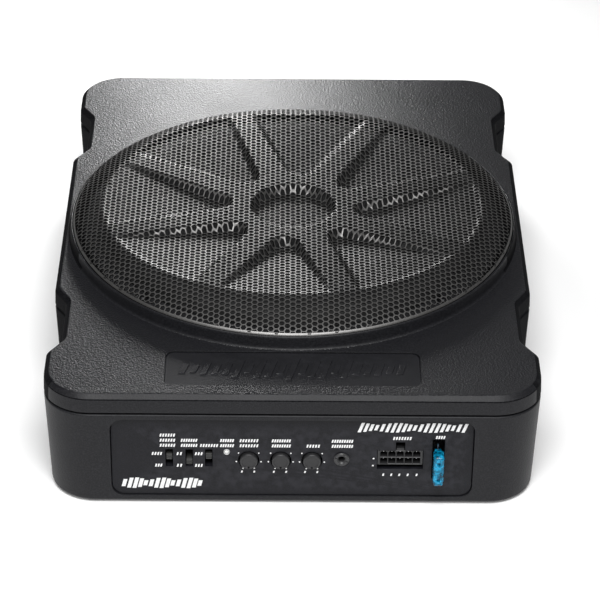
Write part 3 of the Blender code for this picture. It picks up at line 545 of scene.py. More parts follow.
def turned(profile, centre=(0.0, 0.0, 0.0), steps=64, closed=True, upright=True):
    """Spin a profile of (radius, height) about its axis; an open one is a skin."""
    bpy.ops.object.select_all(action="DESELECT")
    bpy.ops.mesh.primitive_circle_add(vertices=len(profile), fill_type="NOTHING")
    item = bpy.context.object
    for vertex, (radius, height) in zip(item.data.vertices, profile):
        vertex.co = (radius * MM, 0.0, height * MM)
    ends = {0, len(profile) - 1}
    if not closed:
        with picked(item, "EDGE", lambda edge: {v.index for v in edge.verts} == ends):
            bpy.ops.mesh.delete(type="EDGE")
    with picked(item, "VERT"):
        bpy.ops.mesh.spin(steps=steps, angle=FULL_TURN, center=(0.0, 0.0, 0.0), axis=(0.0, 0.0, 1.0))
        bpy.ops.mesh.select_all(action="SELECT")
        bpy.ops.mesh.remove_doubles(threshold=0.002 * MM)
        bpy.ops.mesh.normals_make_consistent(inside=False)
    if not upright:
        item.rotation_euler = (math.pi / 2.0, 0.0, 0.0)
    item.location = [c * MM for c in centre]
    return settle(item)


def joined(items):
    """Several meshes as one object."""
    bpy.ops.object.select_all(action="DESELECT")
    for item in items:
        item.select_set(True)
    bpy.context.view_layer.objects.active = items[0]
    bpy.ops.object.join()
    return bpy.context.object


def arc(centre, radius, start, stop, count):
    """Points of an arc in degrees, both ends included."""
    turns = [math.radians(start + (stop - start) * i / count) for i in range(count + 1)]
    return [(centre[0] + radius * math.cos(a), centre[1] + radius * math.sin(a)) for a in turns]


def smooth(item, angle=35.0, weighted=True):
    only(item)
    bpy.ops.object.shade_smooth_by_angle(angle=math.radians(angle))
    if weighted:
        modify(item, "WEIGHTED_NORMAL", keep_sharp=True)
    return item


def present(item, name, finish, body="enclosure", stands_for=()):
    """Name a finished piece, give it its material unless it has one and hand it to the frame."""
    settle(item)
    item.name = name
    item.data.name = name
    if not item.data.materials:
        item.data.materials.append(FINISHES[finish])
    if body:
        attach(item, body)
    if stands_for:
        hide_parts(*stands_for)
    return item


def repaint(item, finish, test):
    """Give the faces that pass the test another finish."""
    only(item)
    bpy.ops.object.material_slot_add()
    item.material_slots[-1].material = FINISHES[finish]
    with picked(item, "FACE", test):
        bpy.ops.object.material_slot_assign()


def dress(finish, *names):
    """Give CAD nodes that stay in view a material."""
    for name in names:
        mesh = NODES[name].data
        mesh.materials.clear()
        mesh.materials.append(FINISHES[finish])


# ---------------------------------------------------------------- case

def notch(side, y, low, high, half_width, low_inset, high_inset):
    """A wedge that cuts one hand notch, leaning with the wall."""
    spare = 4.0
    inner, outer = side * (half_width - NOTCH_DEPTH), side * (half_width + spare)
    flare = 1.0 + (NOTCH_MOUTH / NOTCH_STRAIGHT - 1.0) * (NOTCH_DEPTH + spare) / NOTCH_DEPTH
    item = block((min(inner, outer), y - NOTCH_STRAIGHT, low),
                 (max(inner, outer), y + NOTCH_STRAIGHT, high))
    with picked(item, "FACE", facing(0, outer)):
        bpy.ops.transform.resize(value=(1.0, flare, 1.0), center_override=(0.0, y * MM, 0.0))
    for height, inset in ((low, low_inset), (high, high_inset)):
        with picked(item, "FACE", facing(2, height)):
            bpy.ops.transform.translate(value=(-side * inset * MM, 0.0, 0.0))
            bpy.ops.transform.translate(value=(0.0, 0.0, (-0.02 if height == low else 0.02) * MM))
    return item


def case_block(low, high, half_width, half_depth, corner, low_inset=0.0, high_inset=0.0,
               notch_round=0.0):
    """A box with round corners and two notches a side, drawn in at either end."""
    item = round_block((-half_width, -half_depth, low), (half_width, half_depth, high), corner, 2, 12)
    for height, inset in ((low, low_inset), (high, high_inset)):
        with picked(item, "FACE", facing(2, height)):
            bpy.ops.transform.resize(
                value=((half_width - inset) / half_width, (half_depth - inset) / half_depth, 1.0),
                center_override=(0.0, 0.0, height * MM))
    for side in (1, -1):
        for y in (NOTCH_Y, -NOTCH_Y):
            cut(item, notch(side, y, low, high, half_width, low_inset, high_inset))
    if notch_round:
        def at_notch(edge):
            run = edge.verts[1].co - edge.verts[0].co
            return (abs(run.z) > 0.9 * run.length and sharp(edge, 20.0)
                    and abs(abs(middle(edge).y) - NOTCH_Y) < NOTCH_MOUTH + 2.0)
        round_edges(item, notch_round, 3, at_notch)
    return item


def level_face(face, low, high):
    """Whether a face lies between two heights."""
    heights = [vertex.co.z / MM for vertex in face.verts]
    return min(heights) > low - 0.05 and max(heights) < high + 0.05


def in_notch(face):
    place = middle(face)
    return (abs(face.normal.z) < 0.8 and abs(place.x) > CASE_HALF_WIDTH - NOTCH_DEPTH - 2.0
            and abs(abs(place.y) - NOTCH_Y) < NOTCH_MOUTH)


def make_case_base():
    rim = SEAM_HEIGHT - RIM_GAP
    item = case_block(CASE_BOTTOM, rim, CASE_HALF_WIDTH, CASE_HALF_DEPTH, CORNER_RADIUS,
                      (SEAM_HEIGHT - CASE_BOTTOM) * DRAFT, RIM_GAP * DRAFT, 2.0)
    round_edges(item, 2.0, 3, level(CASE_BOTTOM))
    round_edges(item, 1.1, 3, level(rim))
    cut(item, case_block(FLOOR_TOP, SEAM_HEIGHT + 5.0, CAVITY_HALF_WIDTH, CAVITY_HALF_DEPTH,
                         CAVITY_CORNER))
    window = round_block((-PANEL_HALF_WIDTH - GAP, -190.0, PANEL_BOTTOM - GAP),
                         (PANEL_HALF_WIDTH + GAP, -170.0, PANEL_TOP + GAP), PANEL_CORNER, 1, 8)
    cut(item, window)

    def window_edge(edge):
        place = middle(edge)
        return (sharp(edge, 60.0) and place.y < -176.0 and abs(place.x) < PANEL_HALF_WIDTH + 1.0
                and PANEL_BOTTOM - 1.0 < place.z < PANEL_TOP + 1.0)

    round_edges(item, 0.4, 2, window_edge)
    for x, y in SCREW_PLACES:
        fuse_on(item, rod(SCREW_BOSS_RADIUS, FLOOR_TOP - 0.5, 56.0, (x, y), sides=28))
        cut(item, rod(SCREW_BORE_RADIUS, -5.0, 70.0, (x, y), sides=20),
            rod(SCREW_HEAD_POCKET_RADIUS, 0.0, 3.4, (x, y), sides=28))
    for x, y in FOOT_PLACES:
        cut(item, rod(FOOT_POCKET_RADIUS, 0.0, 2.2, (x, y), sides=40))
    for x, y in STANDOFF_PLACES:
        fuse_on(item, rod(STANDOFF_RADIUS, FLOOR_TOP - 0.5, 7.6, (x, y), sides=20))
    item = present(smooth(item), "case_base", "wall_coat", stands_for=["lower_housing"])
    # The notch faces get the darker copy of the coat as painted shade.
    repaint(item, "painted_shade_coat", in_notch)
    dress("moulded_rubber", "housing_gasket")


def make_case_cover():
    rim = SEAM_HEIGHT + RIM_GAP
    item = case_block(rim, DECK_TOP, CASE_HALF_WIDTH, CASE_HALF_DEPTH, CORNER_RADIUS,
                      RIM_GAP * DRAFT, (DECK_TOP - SEAM_HEIGHT) * DRAFT, 2.0)
    chamfer = DECK_TOP - COVER_SIDE_TOP
    round_edges(item, chamfer, 1, level(DECK_TOP))
    round_edges(item, 0.6, 2, level(rim))
    round_edges(item, 0.5, 3, lambda edge: level(DECK_TOP)(edge) or level(COVER_SIDE_TOP, 0.4)(edge))
    cut(item, case_block(SEAM_HEIGHT - 5.0, DECK_UNDERSIDE, CAVITY_HALF_WIDTH + 2.0,
                         CAVITY_HALF_DEPTH + 2.0, CAVITY_CORNER))
    base = DECK_TOP
    collar = [(123.6, base - 1.0), (129.9, base - 1.0), (129.9, base + 0.1), (129.5, base + 0.25),
              (129.1, base + 0.6), (128.8, base + 1.2), (128.6, base + 2.2), (128.3, 77.6), (128.15, 78.2),
              (127.9, 78.55), (127.6, 78.7), (127.3, 78.6), (127.1, 78.3), (127.1, GRILLE_LEDGE),
              (123.6, GRILLE_LEDGE)]
    fuse_on(item, turned(collar, (0.0, DRIVER_Y, 0.0), 128))
    cut(item, rod(DRIVER_BORE, 55.0, 90.0, (0.0, DRIVER_Y), sides=96))
    recess = round_block((-BADGE_HALF[0], BADGE_Y - BADGE_HALF[1], DECK_TOP - BADGE_DEPTH),
                         (BADGE_HALF[0], BADGE_Y + BADGE_HALF[1], DECK_TOP + 4.0), BADGE_CORNER, 2, 8)
    cut(item, recess)

    def recess_edge(edge):
        place = middle(edge)
        return (level(DECK_TOP)(edge) and sharp(edge, 60.0) and abs(place.x) < BADGE_HALF[0] + 1.0
                and abs(place.y - BADGE_Y) < BADGE_HALF[1] + 1.0)

    round_edges(item, 0.5, 3, recess_edge)
    for x, y in SCREW_PLACES:
        fuse_on(item, rod(SCREW_BOSS_RADIUS, 57.4, DECK_UNDERSIDE + 0.5, (x, y), sides=28))
        cut(item, rod(SCREW_BORE_RADIUS, 50.0, 65.0, (x, y), sides=20))
    for x, y in SPEAKER_SCREWS:
        cut(item, rod(SPEAKER_SCREW_BORE, 60.0, 76.0, (x, y), sides=20))
    item = present(smooth(item), "case_cover", "deck_coat", stands_for=["upper_housing"])
    repaint(item, "wall_coat", lambda face: face.normal.z < 0.9)

    def under_grille(face):
        places = [vertex.co / MM for vertex in face.verts]
        reach = max(math.hypot(place.x, place.y - DRIVER_Y) for place in places)
        return reach < GRILLE_EDGE_RADIUS + 0.6 and max(p.z for p in places) < GRILLE_EDGE_HEIGHT

    def in_shade(face):
        normal = face.normal
        at_side = (abs(normal.x) > 0.3 and abs(normal.x) > abs(normal.y) * 2.0 and normal.z < 0.9
                   and abs(middle(face).x) > 120.0)
        under_chamfer = normal.z < 0.6 and level_face(face, COVER_SIDE_TOP - 0.6, COVER_SIDE_TOP + 0.6)
        return under_grille(face) or in_notch(face) or at_side or under_chamfer

    # Faces in shadow under the grille, in the notches, at the sides and under the chamfer get the darker
    # copy of the coat as painted shade.
    repaint(item, "painted_shade_coat", in_shade)


def make_badge():
    """The deck's plate: a shallow pan with a row of raised slanted bars that swell and fade."""
    floor = DECK_TOP - BADGE_DEPTH + GAP
    inset = 0.4
    x, y = BADGE_HALF[0] - inset, BADGE_HALF[1] - inset
    face = floor + 0.6
    item = round_block((-x, BADGE_Y - y, floor), (x, BADGE_Y + y, face), BADGE_CORNER - inset, 2, 8)
    round_edges(item, 0.2, 2, level(face))
    count, pitch, half = 21, 5.8, 1.7
    bars = []
    for i in range(count):
        place = (i - (count - 1) / 2.0) * pitch
        swell = math.cos(math.pi * place / 150.0) ** 2
        reach = 3.5 + 7.0 * swell * (0.55 + 0.45 * math.cos(place * 0.42))
        bar = block((place - half, BADGE_Y - reach, floor + 0.4),
                    (place + half, BADGE_Y + reach, floor + 1.2))
        for end in (1, -1):
            with picked(bar, "FACE", facing(1, BADGE_Y + end * reach)):
                bpy.ops.transform.translate(value=(end * reach * 0.25 * MM, 0.0, 0.0))
        bars.append(round_edges(bar, 0.25, 2, level(floor + 1.2)))
    fuse_on(item, joined(bars))
    present(smooth(item), "badge_plate_relief", "badge_coat", stands_for=["badge_plate"])


def cross_recess(x, y, low, high, reach, half=0.45):
    return [block((x - reach, y - half, low), (x + reach, y + half, high)),
            block((x - half, y - reach, low), (x + half, y + reach, high))]


def make_feet_and_screws():
    foot = [(0.0, 1.9), (8.8, 1.9), (9.0, 1.7), (9.0, 0.6), (8.8, 0.2), (8.4, 0.0), (7.2, 0.0), (6.9, 0.3),
            (6.3, 0.3), (6.0, 0.0), (4.2, 0.0), (3.9, 0.3), (3.3, 0.3), (3.0, 0.0), (0.0, 0.0)]
    for index, (x, y) in enumerate(FOOT_PLACES):
        item = turned(foot, (x, y, 0.0), 48, closed=False)
        present(smooth(item, 30.0), f"rubber_foot_{index + 1}", "moulded_rubber",
                stands_for=[f"foot_{index + 1}"])
    case_screw = [(0.0, 64.0), (1.2, 63.8), (1.9, 62.8), (1.9, 3.0), (3.9, 3.0), (3.9, 2.2), (3.6, 1.6),
                  (2.9, 1.3), (0.0, 1.25)]
    for index, (x, y) in enumerate(SCREW_PLACES):
        item = turned(case_screw, (x, y, 0.0), 32, closed=False)
        cut(item, *cross_recess(x, y, 0.0, 2.3, 2.0))
        present(smooth(item), f"case_screw_{index + 1}", "blackened_steel",
                stands_for=[f"housing_screw_{index + 1}"])
    head = 74.7
    short_screw = [(0.0, head + 1.6), (1.4, head + 1.55), (2.4, head + 1.2), (3.0, head + 0.6), (3.2, head),
                   (1.7, head), (1.7, 66.5), (0.0, 65.5)]
    for index, (x, y) in enumerate(SPEAKER_SCREWS):
        item = turned(short_screw, (x, y, 0.0), 32, closed=False)
        cut(item, *cross_recess(x, y, head + 0.6, head + 3.0, 1.8))
        present(smooth(item), f"driver_screw_{index + 1}", "blackened_steel",
                stands_for=[f"speaker_screw_{index + 1}"])


# ---------------------------------------------------------------- grille

def ease(value):
    value = min(1.0, max(0.0, value))
    return value * value * (3.0 - 2.0 * value)


def pocket_inside(radius, angle, shoulder):
    """How far a place lies inside its pocket, which tapers to a round nose beside the hub."""
    turn = abs((angle - STAR_ROTATION + SECTOR / 2.0) % SECTOR - SECTOR / 2.0)
    half = SECTOR / 2.0 + SPOKE_FLARE
    centre = (POCKET_NOSE + SPOKE_HALF_WIDTH) / math.sin(half)
    along, across = radius * math.cos(turn) - centre, radius * math.sin(turn)
    if along * math.cos(half) + across * math.sin(half) < 0.0:
        inside = POCKET_NOSE - math.hypot(along, across)
    else:
        inside = radius * math.sin(half - turn) - SPOKE_HALF_WIDTH
    return min(inside, shoulder - 1.0 - radius)


def grille_height(x, y):
    """The sheet's upper side over the driver's axis: hub, spokes, pockets and skirt."""
    radius = math.hypot(x, y)
    angle = math.atan2(y, x)
    half_depth = SHOULDER_HALF_DEPTH + SHOULDER_REAR_GROWTH * (1.0 + math.sin(angle))
    shoulder = 1.0 / math.hypot(math.cos(angle) / SHOULDER_HALF_WIDTH, math.sin(angle) / half_depth)
    shoulder += SHOULDER_CORNER_GROWTH * max(0.0, math.sin(angle)) * abs(math.sin(2.0 * angle))
    if radius >= shoulder:
        part = min(1.0, (radius - shoulder) / (GRILLE_EDGE_RADIUS - shoulder))
        fall = SKIRT_SLOPE * part + (1.0 - SKIRT_SLOPE) * (1.0 - math.sqrt(1.0 - part ** 2))
        return SHOULDER_HEIGHT - (SHOULDER_HEIGHT - GRILLE_EDGE_HEIGHT) * fall
    top = HUB_RING_HEIGHT + (SHOULDER_HEIGHT - HUB_RING_HEIGHT) * ease(radius / shoulder)
    along = (radius - POCKET_APEX) / (shoulder - POCKET_APEX)
    floor = POCKET_FLOOR + (POCKET_RIM_FLOOR - POCKET_FLOOR) * min(1.0, max(0.0, along))
    pocket = ease(pocket_inside(radius, angle, shoulder) / POCKET_WALL)
    hub = ease((HUB_RADIUS - radius) / POCKET_WALL)
    return top - (top - floor) * pocket - (top - POCKET_FLOOR) * hub


def press(item, lift=0.0):
    """Press a flat mesh to the relief."""
    for vertex in item.data.vertices:
        x, y = vertex.co.x / MM, vertex.co.y / MM
        vertex.co.z = (grille_height(x, y) + lift) * MM


def make_grille():
    """One punched cell, repeated in a hexagonal pattern, trimmed, pressed and thickened."""
    sizes = bpy.context.scene.subwoofer_grille
    pitch = sizes.pitch / MM
    column = pitch * math.sin(math.pi / 3.0)
    bpy.ops.object.select_all(action="DESELECT")
    bpy.ops.mesh.primitive_circle_add(vertices=6, radius=pitch / math.sqrt(3.0) * MM, fill_type="NGON",
                                      rotation=(0.0, 0.0, math.pi / 6.0))
    item = settle(bpy.context.object)
    with picked(item, "FACE"):
        bpy.ops.mesh.inset(thickness=(pitch * MM - sizes.hole) / 2.0)
        bpy.ops.mesh.delete(type="FACE")
    rows = 2 * math.ceil(GRILLE_EDGE_RADIUS / pitch) + 2
    columns = math.ceil(GRILLE_EDGE_RADIUS / column) + 1
    modify(item, "ARRAY", count=2, use_relative_offset=False, use_constant_offset=True,
           constant_offset_displace=(column * MM, pitch / 2.0 * MM, 0.0))
    modify(item, "ARRAY", count=rows, use_relative_offset=False, use_constant_offset=True,
           constant_offset_displace=(0.0, pitch * MM, 0.0))
    modify(item, "ARRAY", count=columns, use_relative_offset=False, use_constant_offset=True,
           constant_offset_displace=(2.0 * column * MM, 0.0, 0.0))
    shift = Vector((columns // 2 * 2.0 * column, rows // 2 * pitch, 0.0)) * MM
    item.data.transform(Matrix.Translation(-shift))
    trim = GRILLE_EDGE_RADIUS - 1.3

    def outside(face):
        place = middle(face)
        across = round(place.x / column)
        offset = pitch / 2.0 if across % 2 else 0.0
        along = round((place.y - offset) / pitch) * pitch + offset
        return math.hypot(across * column, along) > trim

    with picked(item, "FACE", outside):
        bpy.ops.mesh.delete(type="FACE")
        bpy.ops.mesh.select_all(action="SELECT")
        bpy.ops.mesh.remove_doubles(threshold=0.01 * MM)
    limit = (GRILLE_EDGE_RADIUS - 0.35) * MM
    for vertex in item.data.vertices:
        reach = math.hypot(vertex.co.x, vertex.co.y)
        if reach > limit:
            vertex.co.x *= limit / reach
            vertex.co.y *= limit / reach
    press(item, -0.08)
    rings = [125.7, 126.1, 126.5, GRILLE_EDGE_RADIUS]
    rim = turned([(radius, 0.0) for radius in rings], steps=160, closed=False)
    press(rim)
    sheets = []
    for sheet in (item, rim):
        with picked(sheet, "FACE"):
            bpy.ops.mesh.normals_make_consistent(inside=False)
        if sum(face.normal.z for face in sheet.data.polygons) < 0.0:
            sheet.data.flip_normals()
        # Slot 1 is the near-black painted shade; the solidified rims, the walls of the holes, take it.
        for finish in ("grille_paint", "painted_hole_shade"):
            sheet.data.materials.append(FINISHES[finish])
        sheets.append(modify(sheet, "SOLIDIFY", thickness=(0.7 if sheet is item else 0.8) * MM, offset=-1.0,
                             material_offset_rim=1))
    item = joined(sheets)
    item.location = (0.0, DRIVER_Y * MM, 0.0)
    present(smooth(settle(item), 50.0, False), "grille_sheet", "grille_paint",
            stands_for=["grille"])


# ---------------------------------------------------------------- driver

def skin(profile, thickness, steps=96, offset=0.0):
    item = turned(profile, (0.0, DRIVER_Y, 0.0), steps, closed=False)
    return modify(item, "SOLIDIFY", thickness=thickness * MM, offset=offset, use_even_offset=True)


def follow_radially(item, inner, outer):
    """A ring that moves with the cone at its inner edge and stays with the basket at its outer one."""
    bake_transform(item, "enclosure", "cone_assembly", start=(0.0, 0.0, 0.0), end=(0.0, 0.0, 1.0))
    shares = item.data.attributes["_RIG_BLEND"].data
    for vertex, share in zip(item.data.vertices, shares):
        reach = math.hypot(vertex.co.x / MM, vertex.co.y / MM - DRIVER_Y)
        share.value = 1.0 - ease((reach - inner) / (outer - inner))


def make_driver():
    cone = [(89.5 - 68.9 * i / 14, 73.6 - 17.6 * (i / 14) ** 1.08) for i in range(15)]
    present(smooth(skin(cone, 1.2), 40.0), "cone_paper", "cone_paper", "cone_assembly",
            ["cone"])
    cap = [(34.0 * math.cos(math.radians(a)), 61.1 + 6.2 * math.sin(math.radians(a)))
           for a in range(0, 91, 9)]
    present(smooth(skin(cap, 0.8), 40.0), "dust_cap_paper", "cone_paper",
            "cone_assembly", ["dust_cap"])
    roll = [(84.5, 73.65), (87.0, 74.3), (89.5, 74.93)]
    roll += [(x, 75.2 + y * 6.4 / 9.0) for x, y in arc((100.0, 0.0), 9.0, 180.0, 0.0, 20)]
    roll += [(110.5, 75.2), (113.0, 75.2)]
    item = present(smooth(skin(roll, 0.8, 128), 50.0), "surround_roll", "moulded_rubber",
                   None, ["surround"])
    follow_radially(item, 90.0, 109.5)
    waves = [(20.2, 46.6), (24.0, 46.6)]
    waves += [(24.0 + 30.0 * i / 48, 46.6 + 1.1 * math.sin(FULL_TURN * 3 * i / 48))
              for i in range(1, 48)]
    waves += [(54.0, 46.6), (64.0, 46.6)]
    item = present(smooth(skin(waves, 0.5), 60.0), "spider_disc", "spider_cloth", None,
                   ["spider"])
    follow_radially(item, 22.0, 56.0)
    dress("basket_enamel", "basket")
    dress("moulded_rubber", "speaker_gasket")
    dress("drawn_aluminium", "coil_former")
    dress("copper_wire", "voice_coil")
    dress("blackened_steel", "top_plate", "yoke")
    dress("ferrite", "magnet")
    dress("moulded_plastic", "terminal_block")


def make_amplifier():
    dress("board_mask", "circuit_board")
    dress("copper_wire", "toroid")
    dress("sleeve_foil", "capacitor_1", "capacitor_2", "capacitor_3")
    dress("drawn_aluminium", "heatsink")
    dress("moulded_plastic", *(f"transistor_{i}" for i in range(1, 5)))


# ---------------------------------------------------------------- control panel

def make_panel():
    item = round_block((-PANEL_HALF_WIDTH, PANEL_FACE, PANEL_BOTTOM),
                       (PANEL_HALF_WIDTH, PANEL_BACK, PANEL_TOP), PANEL_CORNER, 1, 8)
    round_edges(item, 0.3, 2, level(PANEL_FACE, axis=1))
    fuse_on(item, block((-FLANGE_HALF_WIDTH, PANEL_BACK - 1.8, PANEL_BOTTOM - 0.8),
                        (FLANGE_HALF_WIDTH, PANEL_BACK - 0.1, PANEL_TOP + 1.6)))
    front, back = -190.0, -160.0
    openings = [through(x, SWITCH_Z, *SWITCH_MOUTH, front, back) for _, x, _ in SWITCHES]
    openings += [rod(POT_MOUTH_RADIUS, front, back, (x, POT_Z), 1, 48) for _, x in POTS]
    openings.append(rod(LED_MOUTH_RADIUS, front, back, LED, 1, 32))
    openings.append(rod(JACK_MOUTH_RADIUS, front, back, JACK, 1, 32))
    half = CONNECTOR_HALF[0] + GAP
    low, high = CONNECTOR[1] - CONNECTOR_HALF[1] - 2.6, CONNECTOR[1] + CONNECTOR_HALF[1] + GAP
    mouth = block((CONNECTOR[0] - half, front, low), (CONNECTOR[0] + half, back, high))
    fuse_on(mouth, block((CONNECTOR[0] - 2.5, front, high - 0.5), (CONNECTOR[0] + 2.5, back, 40.6)))
    openings.append(mouth)
    openings.append(block((FUSE_X - FUSE_MOUTH_HALF_WIDTH, front, FUSE_Z[0] - 0.5),
                          (FUSE_X + FUSE_MOUTH_HALF_WIDTH, back, FUSE_MOUTH_TOP)))
    cut(item, *openings)

    def mouth_edge(edge):
        place = middle(edge)
        return (level(PANEL_FACE, axis=1)(edge) and sharp(edge, 60.0)
                and abs(place.x) < PANEL_HALF_WIDTH - 2.0
                and PANEL_BOTTOM + 2.0 < place.z < PANEL_TOP - 2.0)

    round_edges(item, 0.22, 2, mouth_edge)
    present(smooth(item), "panel_face", "panel_coat", stands_for=["control_panel"])


def stroke_row(left, right, height, tall, pitch=1.3, wide=0.86, lean=0.22):
    """A row of small slanted strokes that fills a length of the panel."""
    count = max(1, round((right - left) / pitch))
    item = block((left, INK_FRONT, height - tall / 2.0), (left + wide, INK_BACK, height + tall / 2.0))
    with picked(item, "FACE", facing(2, height + tall / 2.0)):
        bpy.ops.transform.translate(value=(tall * lean * MM, 0.0, 0.0))
    if count > 1:
        step = (right - left - wide) / (count - 1)
        modify(item, "ARRAY", count=count, use_relative_offset=False, use_constant_offset=True,
               constant_offset_displace=(step * MM, 0.0, 0.0))
    return item


def scale_dot(radius, place):
    return rod(radius, INK_FRONT, INK_BACK, place, 1, 12)


def make_marks():
    """Plain printed marks: stroke rows over the controls, scale dots and two bar motifs."""
    third, second, first = 44.3, 41.0, 37.7
    beside_high, beside_low = 32.3, 24.6
    rows = [(-70.6, -62.6, (first, second, third)), (-59.4, -50.8, (first, second)),
            (-49.2, -39.8, (first,)), (-38.5, -31.3, (first, second)), (-28.1, -18.4, (first, second)),
            (-11.0, -1.1, (first, second)), (7.5, 14.4, (first,)), (20.9, 32.1, (first, second)),
            (53.5, 63.1, (43.1,)), (76.2, 81.0, (43.9,)), (-75.0, -69.7, (beside_high,)),
            (-73.3, -69.7, (beside_low,)), (-61.7, -59.1, (beside_high, beside_low)),
            (-52.0, -48.1, (beside_high, beside_low))]
    marks = [stroke_row(left, right, height, 1.9)
             for left, right, heights in rows for height in heights]
    marks += [stroke_row(x - 0.9, x + 0.9, 19.2, 1.5) for x in (49.2, 53.5, 57.8, 62.3, 67.1)]
    for _, x in POTS:
        marks += [stroke_row(x + side * 3.3 - 0.9, x + side * 3.3 + 0.9, POT_Z - 7.6, 1.3)
                  for side in (-1, 1)]
        dots = [(-6.6, -1.0), (6.6, -1.0), (-5.4, 4.6), (5.4, 4.6), (-3.0, -5.4), (3.0, -5.4)]
        marks += [scale_dot(0.42, (x + dx, POT_Z + dz)) for dx, dz in dots]
    marks += [scale_dot(0.5, place) for place in ((43.5, 29.8), (43.2, 25.2))]
    bar_pitch = 2.9
    for i in range(15):
        x = -91.5 + i * bar_pitch
        tall = 2.6 + 4.4 * abs(math.sin(i * 0.62 + 0.5))
        marks.append(stroke_row(x, x + 2.1, 12.9, tall, 9.0, 2.1, 0.25))
    for i in range(20):
        x = 34.6 + i * bar_pitch
        tall = 3.2 + 3.0 * abs(math.cos(i * 0.45 + 0.3))
        marks.append(stroke_row(x, x + 1.7, 50.0, tall, 9.0, 1.7, 0.35))
    present(joined(marks), "panel_marks", "panel_ink")


def make_switches():
    for index, (name, x, z) in enumerate(SWITCHES):
        item = through(x, z, *NUB_HALF, PANEL_FACE + 1.0, PANEL_BACK + 3.6)
        round_edges(item, 0.35, 2)
        cut(item, *(through(x, z + step, 3.0, 0.18, -180.0, PANEL_FACE + 1.35)
                    for step in (-0.9, 0.0, 0.9)))
        present(smooth(item), f"{name}_nub", "nub_plastic", f"{name}_slider",
                [f"switch_slider_{index + 1}"])
    dress("moulded_plastic", *(f"{kind}_body_{i}" for kind in ("switch", "pot") for i in (1, 2, 3)))


def make_knobs():
    front = PANEL_FACE - KNOB_STANDS_OUT
    reach = PANEL_BACK - front
    profile = [(0.0, reach - 0.35), (3.3, reach - 0.35), (3.6, reach - 0.2), (3.75, reach), (4.2, reach),
               (4.55, reach - 0.15), (4.75, reach - 0.4), (4.8, reach - 0.8), (4.8, 0.0), (0.0, 0.0)]
    for index, (name, x) in enumerate(POTS):
        item = turned(profile, (x, PANEL_BACK, POT_Z), 64, closed=False, upright=False)
        cut(item, rod(0.6, front - 1.0, front + 1.4, (x, POT_Z - 3.7), 1, 16))
        present(smooth(item), f"{name}_knob", "moulded_plastic", f"knob_{name}",
                [f"knob_{index + 1}"])


def make_led():
    x, z = LED
    length = 5.4
    lens = [(0.0, length), (0.5, length - 0.05), (1.0, length - 0.25), (1.3, length - 0.6),
            (1.4, length - 1.1), (1.4, 0.0), (0.0, 0.0)]
    item = turned(lens, (x, PANEL_FACE - 0.5 + length, z), 32, closed=False, upright=False)
    present(smooth(item, 40.0), "led_lens", "lens_plastic", stands_for=["indicator_led"])
    ring = [(1.45, 0.0), (1.75, 0.0), (1.75, 0.9), (1.6, 1.25), (1.45, 0.9)]
    item = turned(ring, (x, PANEL_FACE + 0.9, z), 32, upright=False)
    present(smooth(item), "led_ring", "bezel_plastic")


def make_jack():
    x, z = JACK
    back = PANEL_BACK + 10.0
    length = back - PANEL_FACE + 1.1
    profile = [(3.7, length), (4.1, length - 0.35), (4.1, length - 0.8), (2.9, length - 0.8),
               (2.9, 9.6), (5.0, 9.6), (5.0, 0.0), (1.8, 0.0), (1.8, length - 0.7),
               (2.3, length - 0.25), (2.5, length)]
    item = turned(profile, (x, back, z), 48, upright=False)
    for turn in (0.35, 0.35 + math.pi / 2.0):
        slot = block((-6.0, PANEL_FACE - 2.0, -0.4), (6.0, PANEL_FACE - 0.7, 0.4))
        slot.rotation_euler = (0.0, turn, 0.0)
        slot.location = (x * MM, 0.0, z * MM)
        cut(item, settle(slot))
    present(smooth(item), "jack_nut_and_barrel", "nut_plastic",
            stands_for=["remote_jack"])


def make_connector():
    """A two-row header with open cells, a pin in each and a latch ramp on top."""
    cx, cz = CONNECTOR
    half_x, half_z = CONNECTOR_HALF
    front = PANEL_FACE + 0.4
    item = through(cx, cz, half_x, half_z, front, front + 14.0)
    cells, pins = [], []
    cell_half, pin_half = 1.88, 0.5
    for column in range(5):
        for row in (-1, 1):
            x, z = cx + (column - 2) * CELL_PITCH, cz + row * CELL_PITCH / 2.0
            cell = through(x, z, cell_half, cell_half, front - 2.0, front + 9.0)
            if row > 0:
                cell = round_edges(cell, 0.9, 1, lambda edge: middle(edge).z > z + 1.0
                                   and abs(edge.verts[0].co.y - edge.verts[1].co.y) > 5.0 * MM)
            cells.append(cell)
            pin = through(x, z, pin_half, pin_half, front + 2.5, front + 9.5)
            with picked(pin, "FACE", facing(1, front + 2.5)):
                bpy.ops.transform.resize(value=(0.45, 1.0, 0.45), center_override=(x * MM, 0.0, z * MM))
            pins.append(pin)
    cut(item, *cells)
    round_edges(item, 0.2, 1, lambda edge: level(front, axis=1)(edge) and sharp(edge, 60.0))
    top = cz + half_z
    fuse_on(item, block((cx - 1.9, front + 0.4, top - 0.2), (cx + 1.9, front + 4.0, top + 1.2)))
    present(smooth(item), "power_header", "moulded_plastic",
            stands_for=["power_connector"])
    present(joined(pins), "header_pins", "plated_steel")


def make_fuse():
    """A clear blue blade fuse: wide head, slim body with two windows, and its link inside."""
    front = PANEL_FACE - FUSE_STANDS_OUT
    low, high = FUSE_Z
    head = block((FUSE_X - FUSE_HEAD_HALF_WIDTH, front, low),
                 (FUSE_X + FUSE_HEAD_HALF_WIDTH, front + 8.0, high))
    round_edges(head, 1.6, 4)
    body = block((FUSE_X - FUSE_BODY_HALF_WIDTH, front + 7.0, low + 1.5),
                 (FUSE_X + FUSE_BODY_HALF_WIDTH, front + 13.6, high - 3.4))
    round_edges(body, 0.5, 2)
    fuse_on(head, body)
    cut(head, *(through(FUSE_X, z, 0.9, 1.2, front - 1.0, front + 1.2)
                for z in (low + 4.4, high - 4.4)))
    present(smooth(head), "fuse_shell", "fuse_plastic", "fuse", ["fuse_body"])
    dress("plated_steel", "fuse_blade_1", "fuse_blade_2")
    dress("moulded_plastic", "fuse_holder")


# ---------------------------------------------------------------- stage

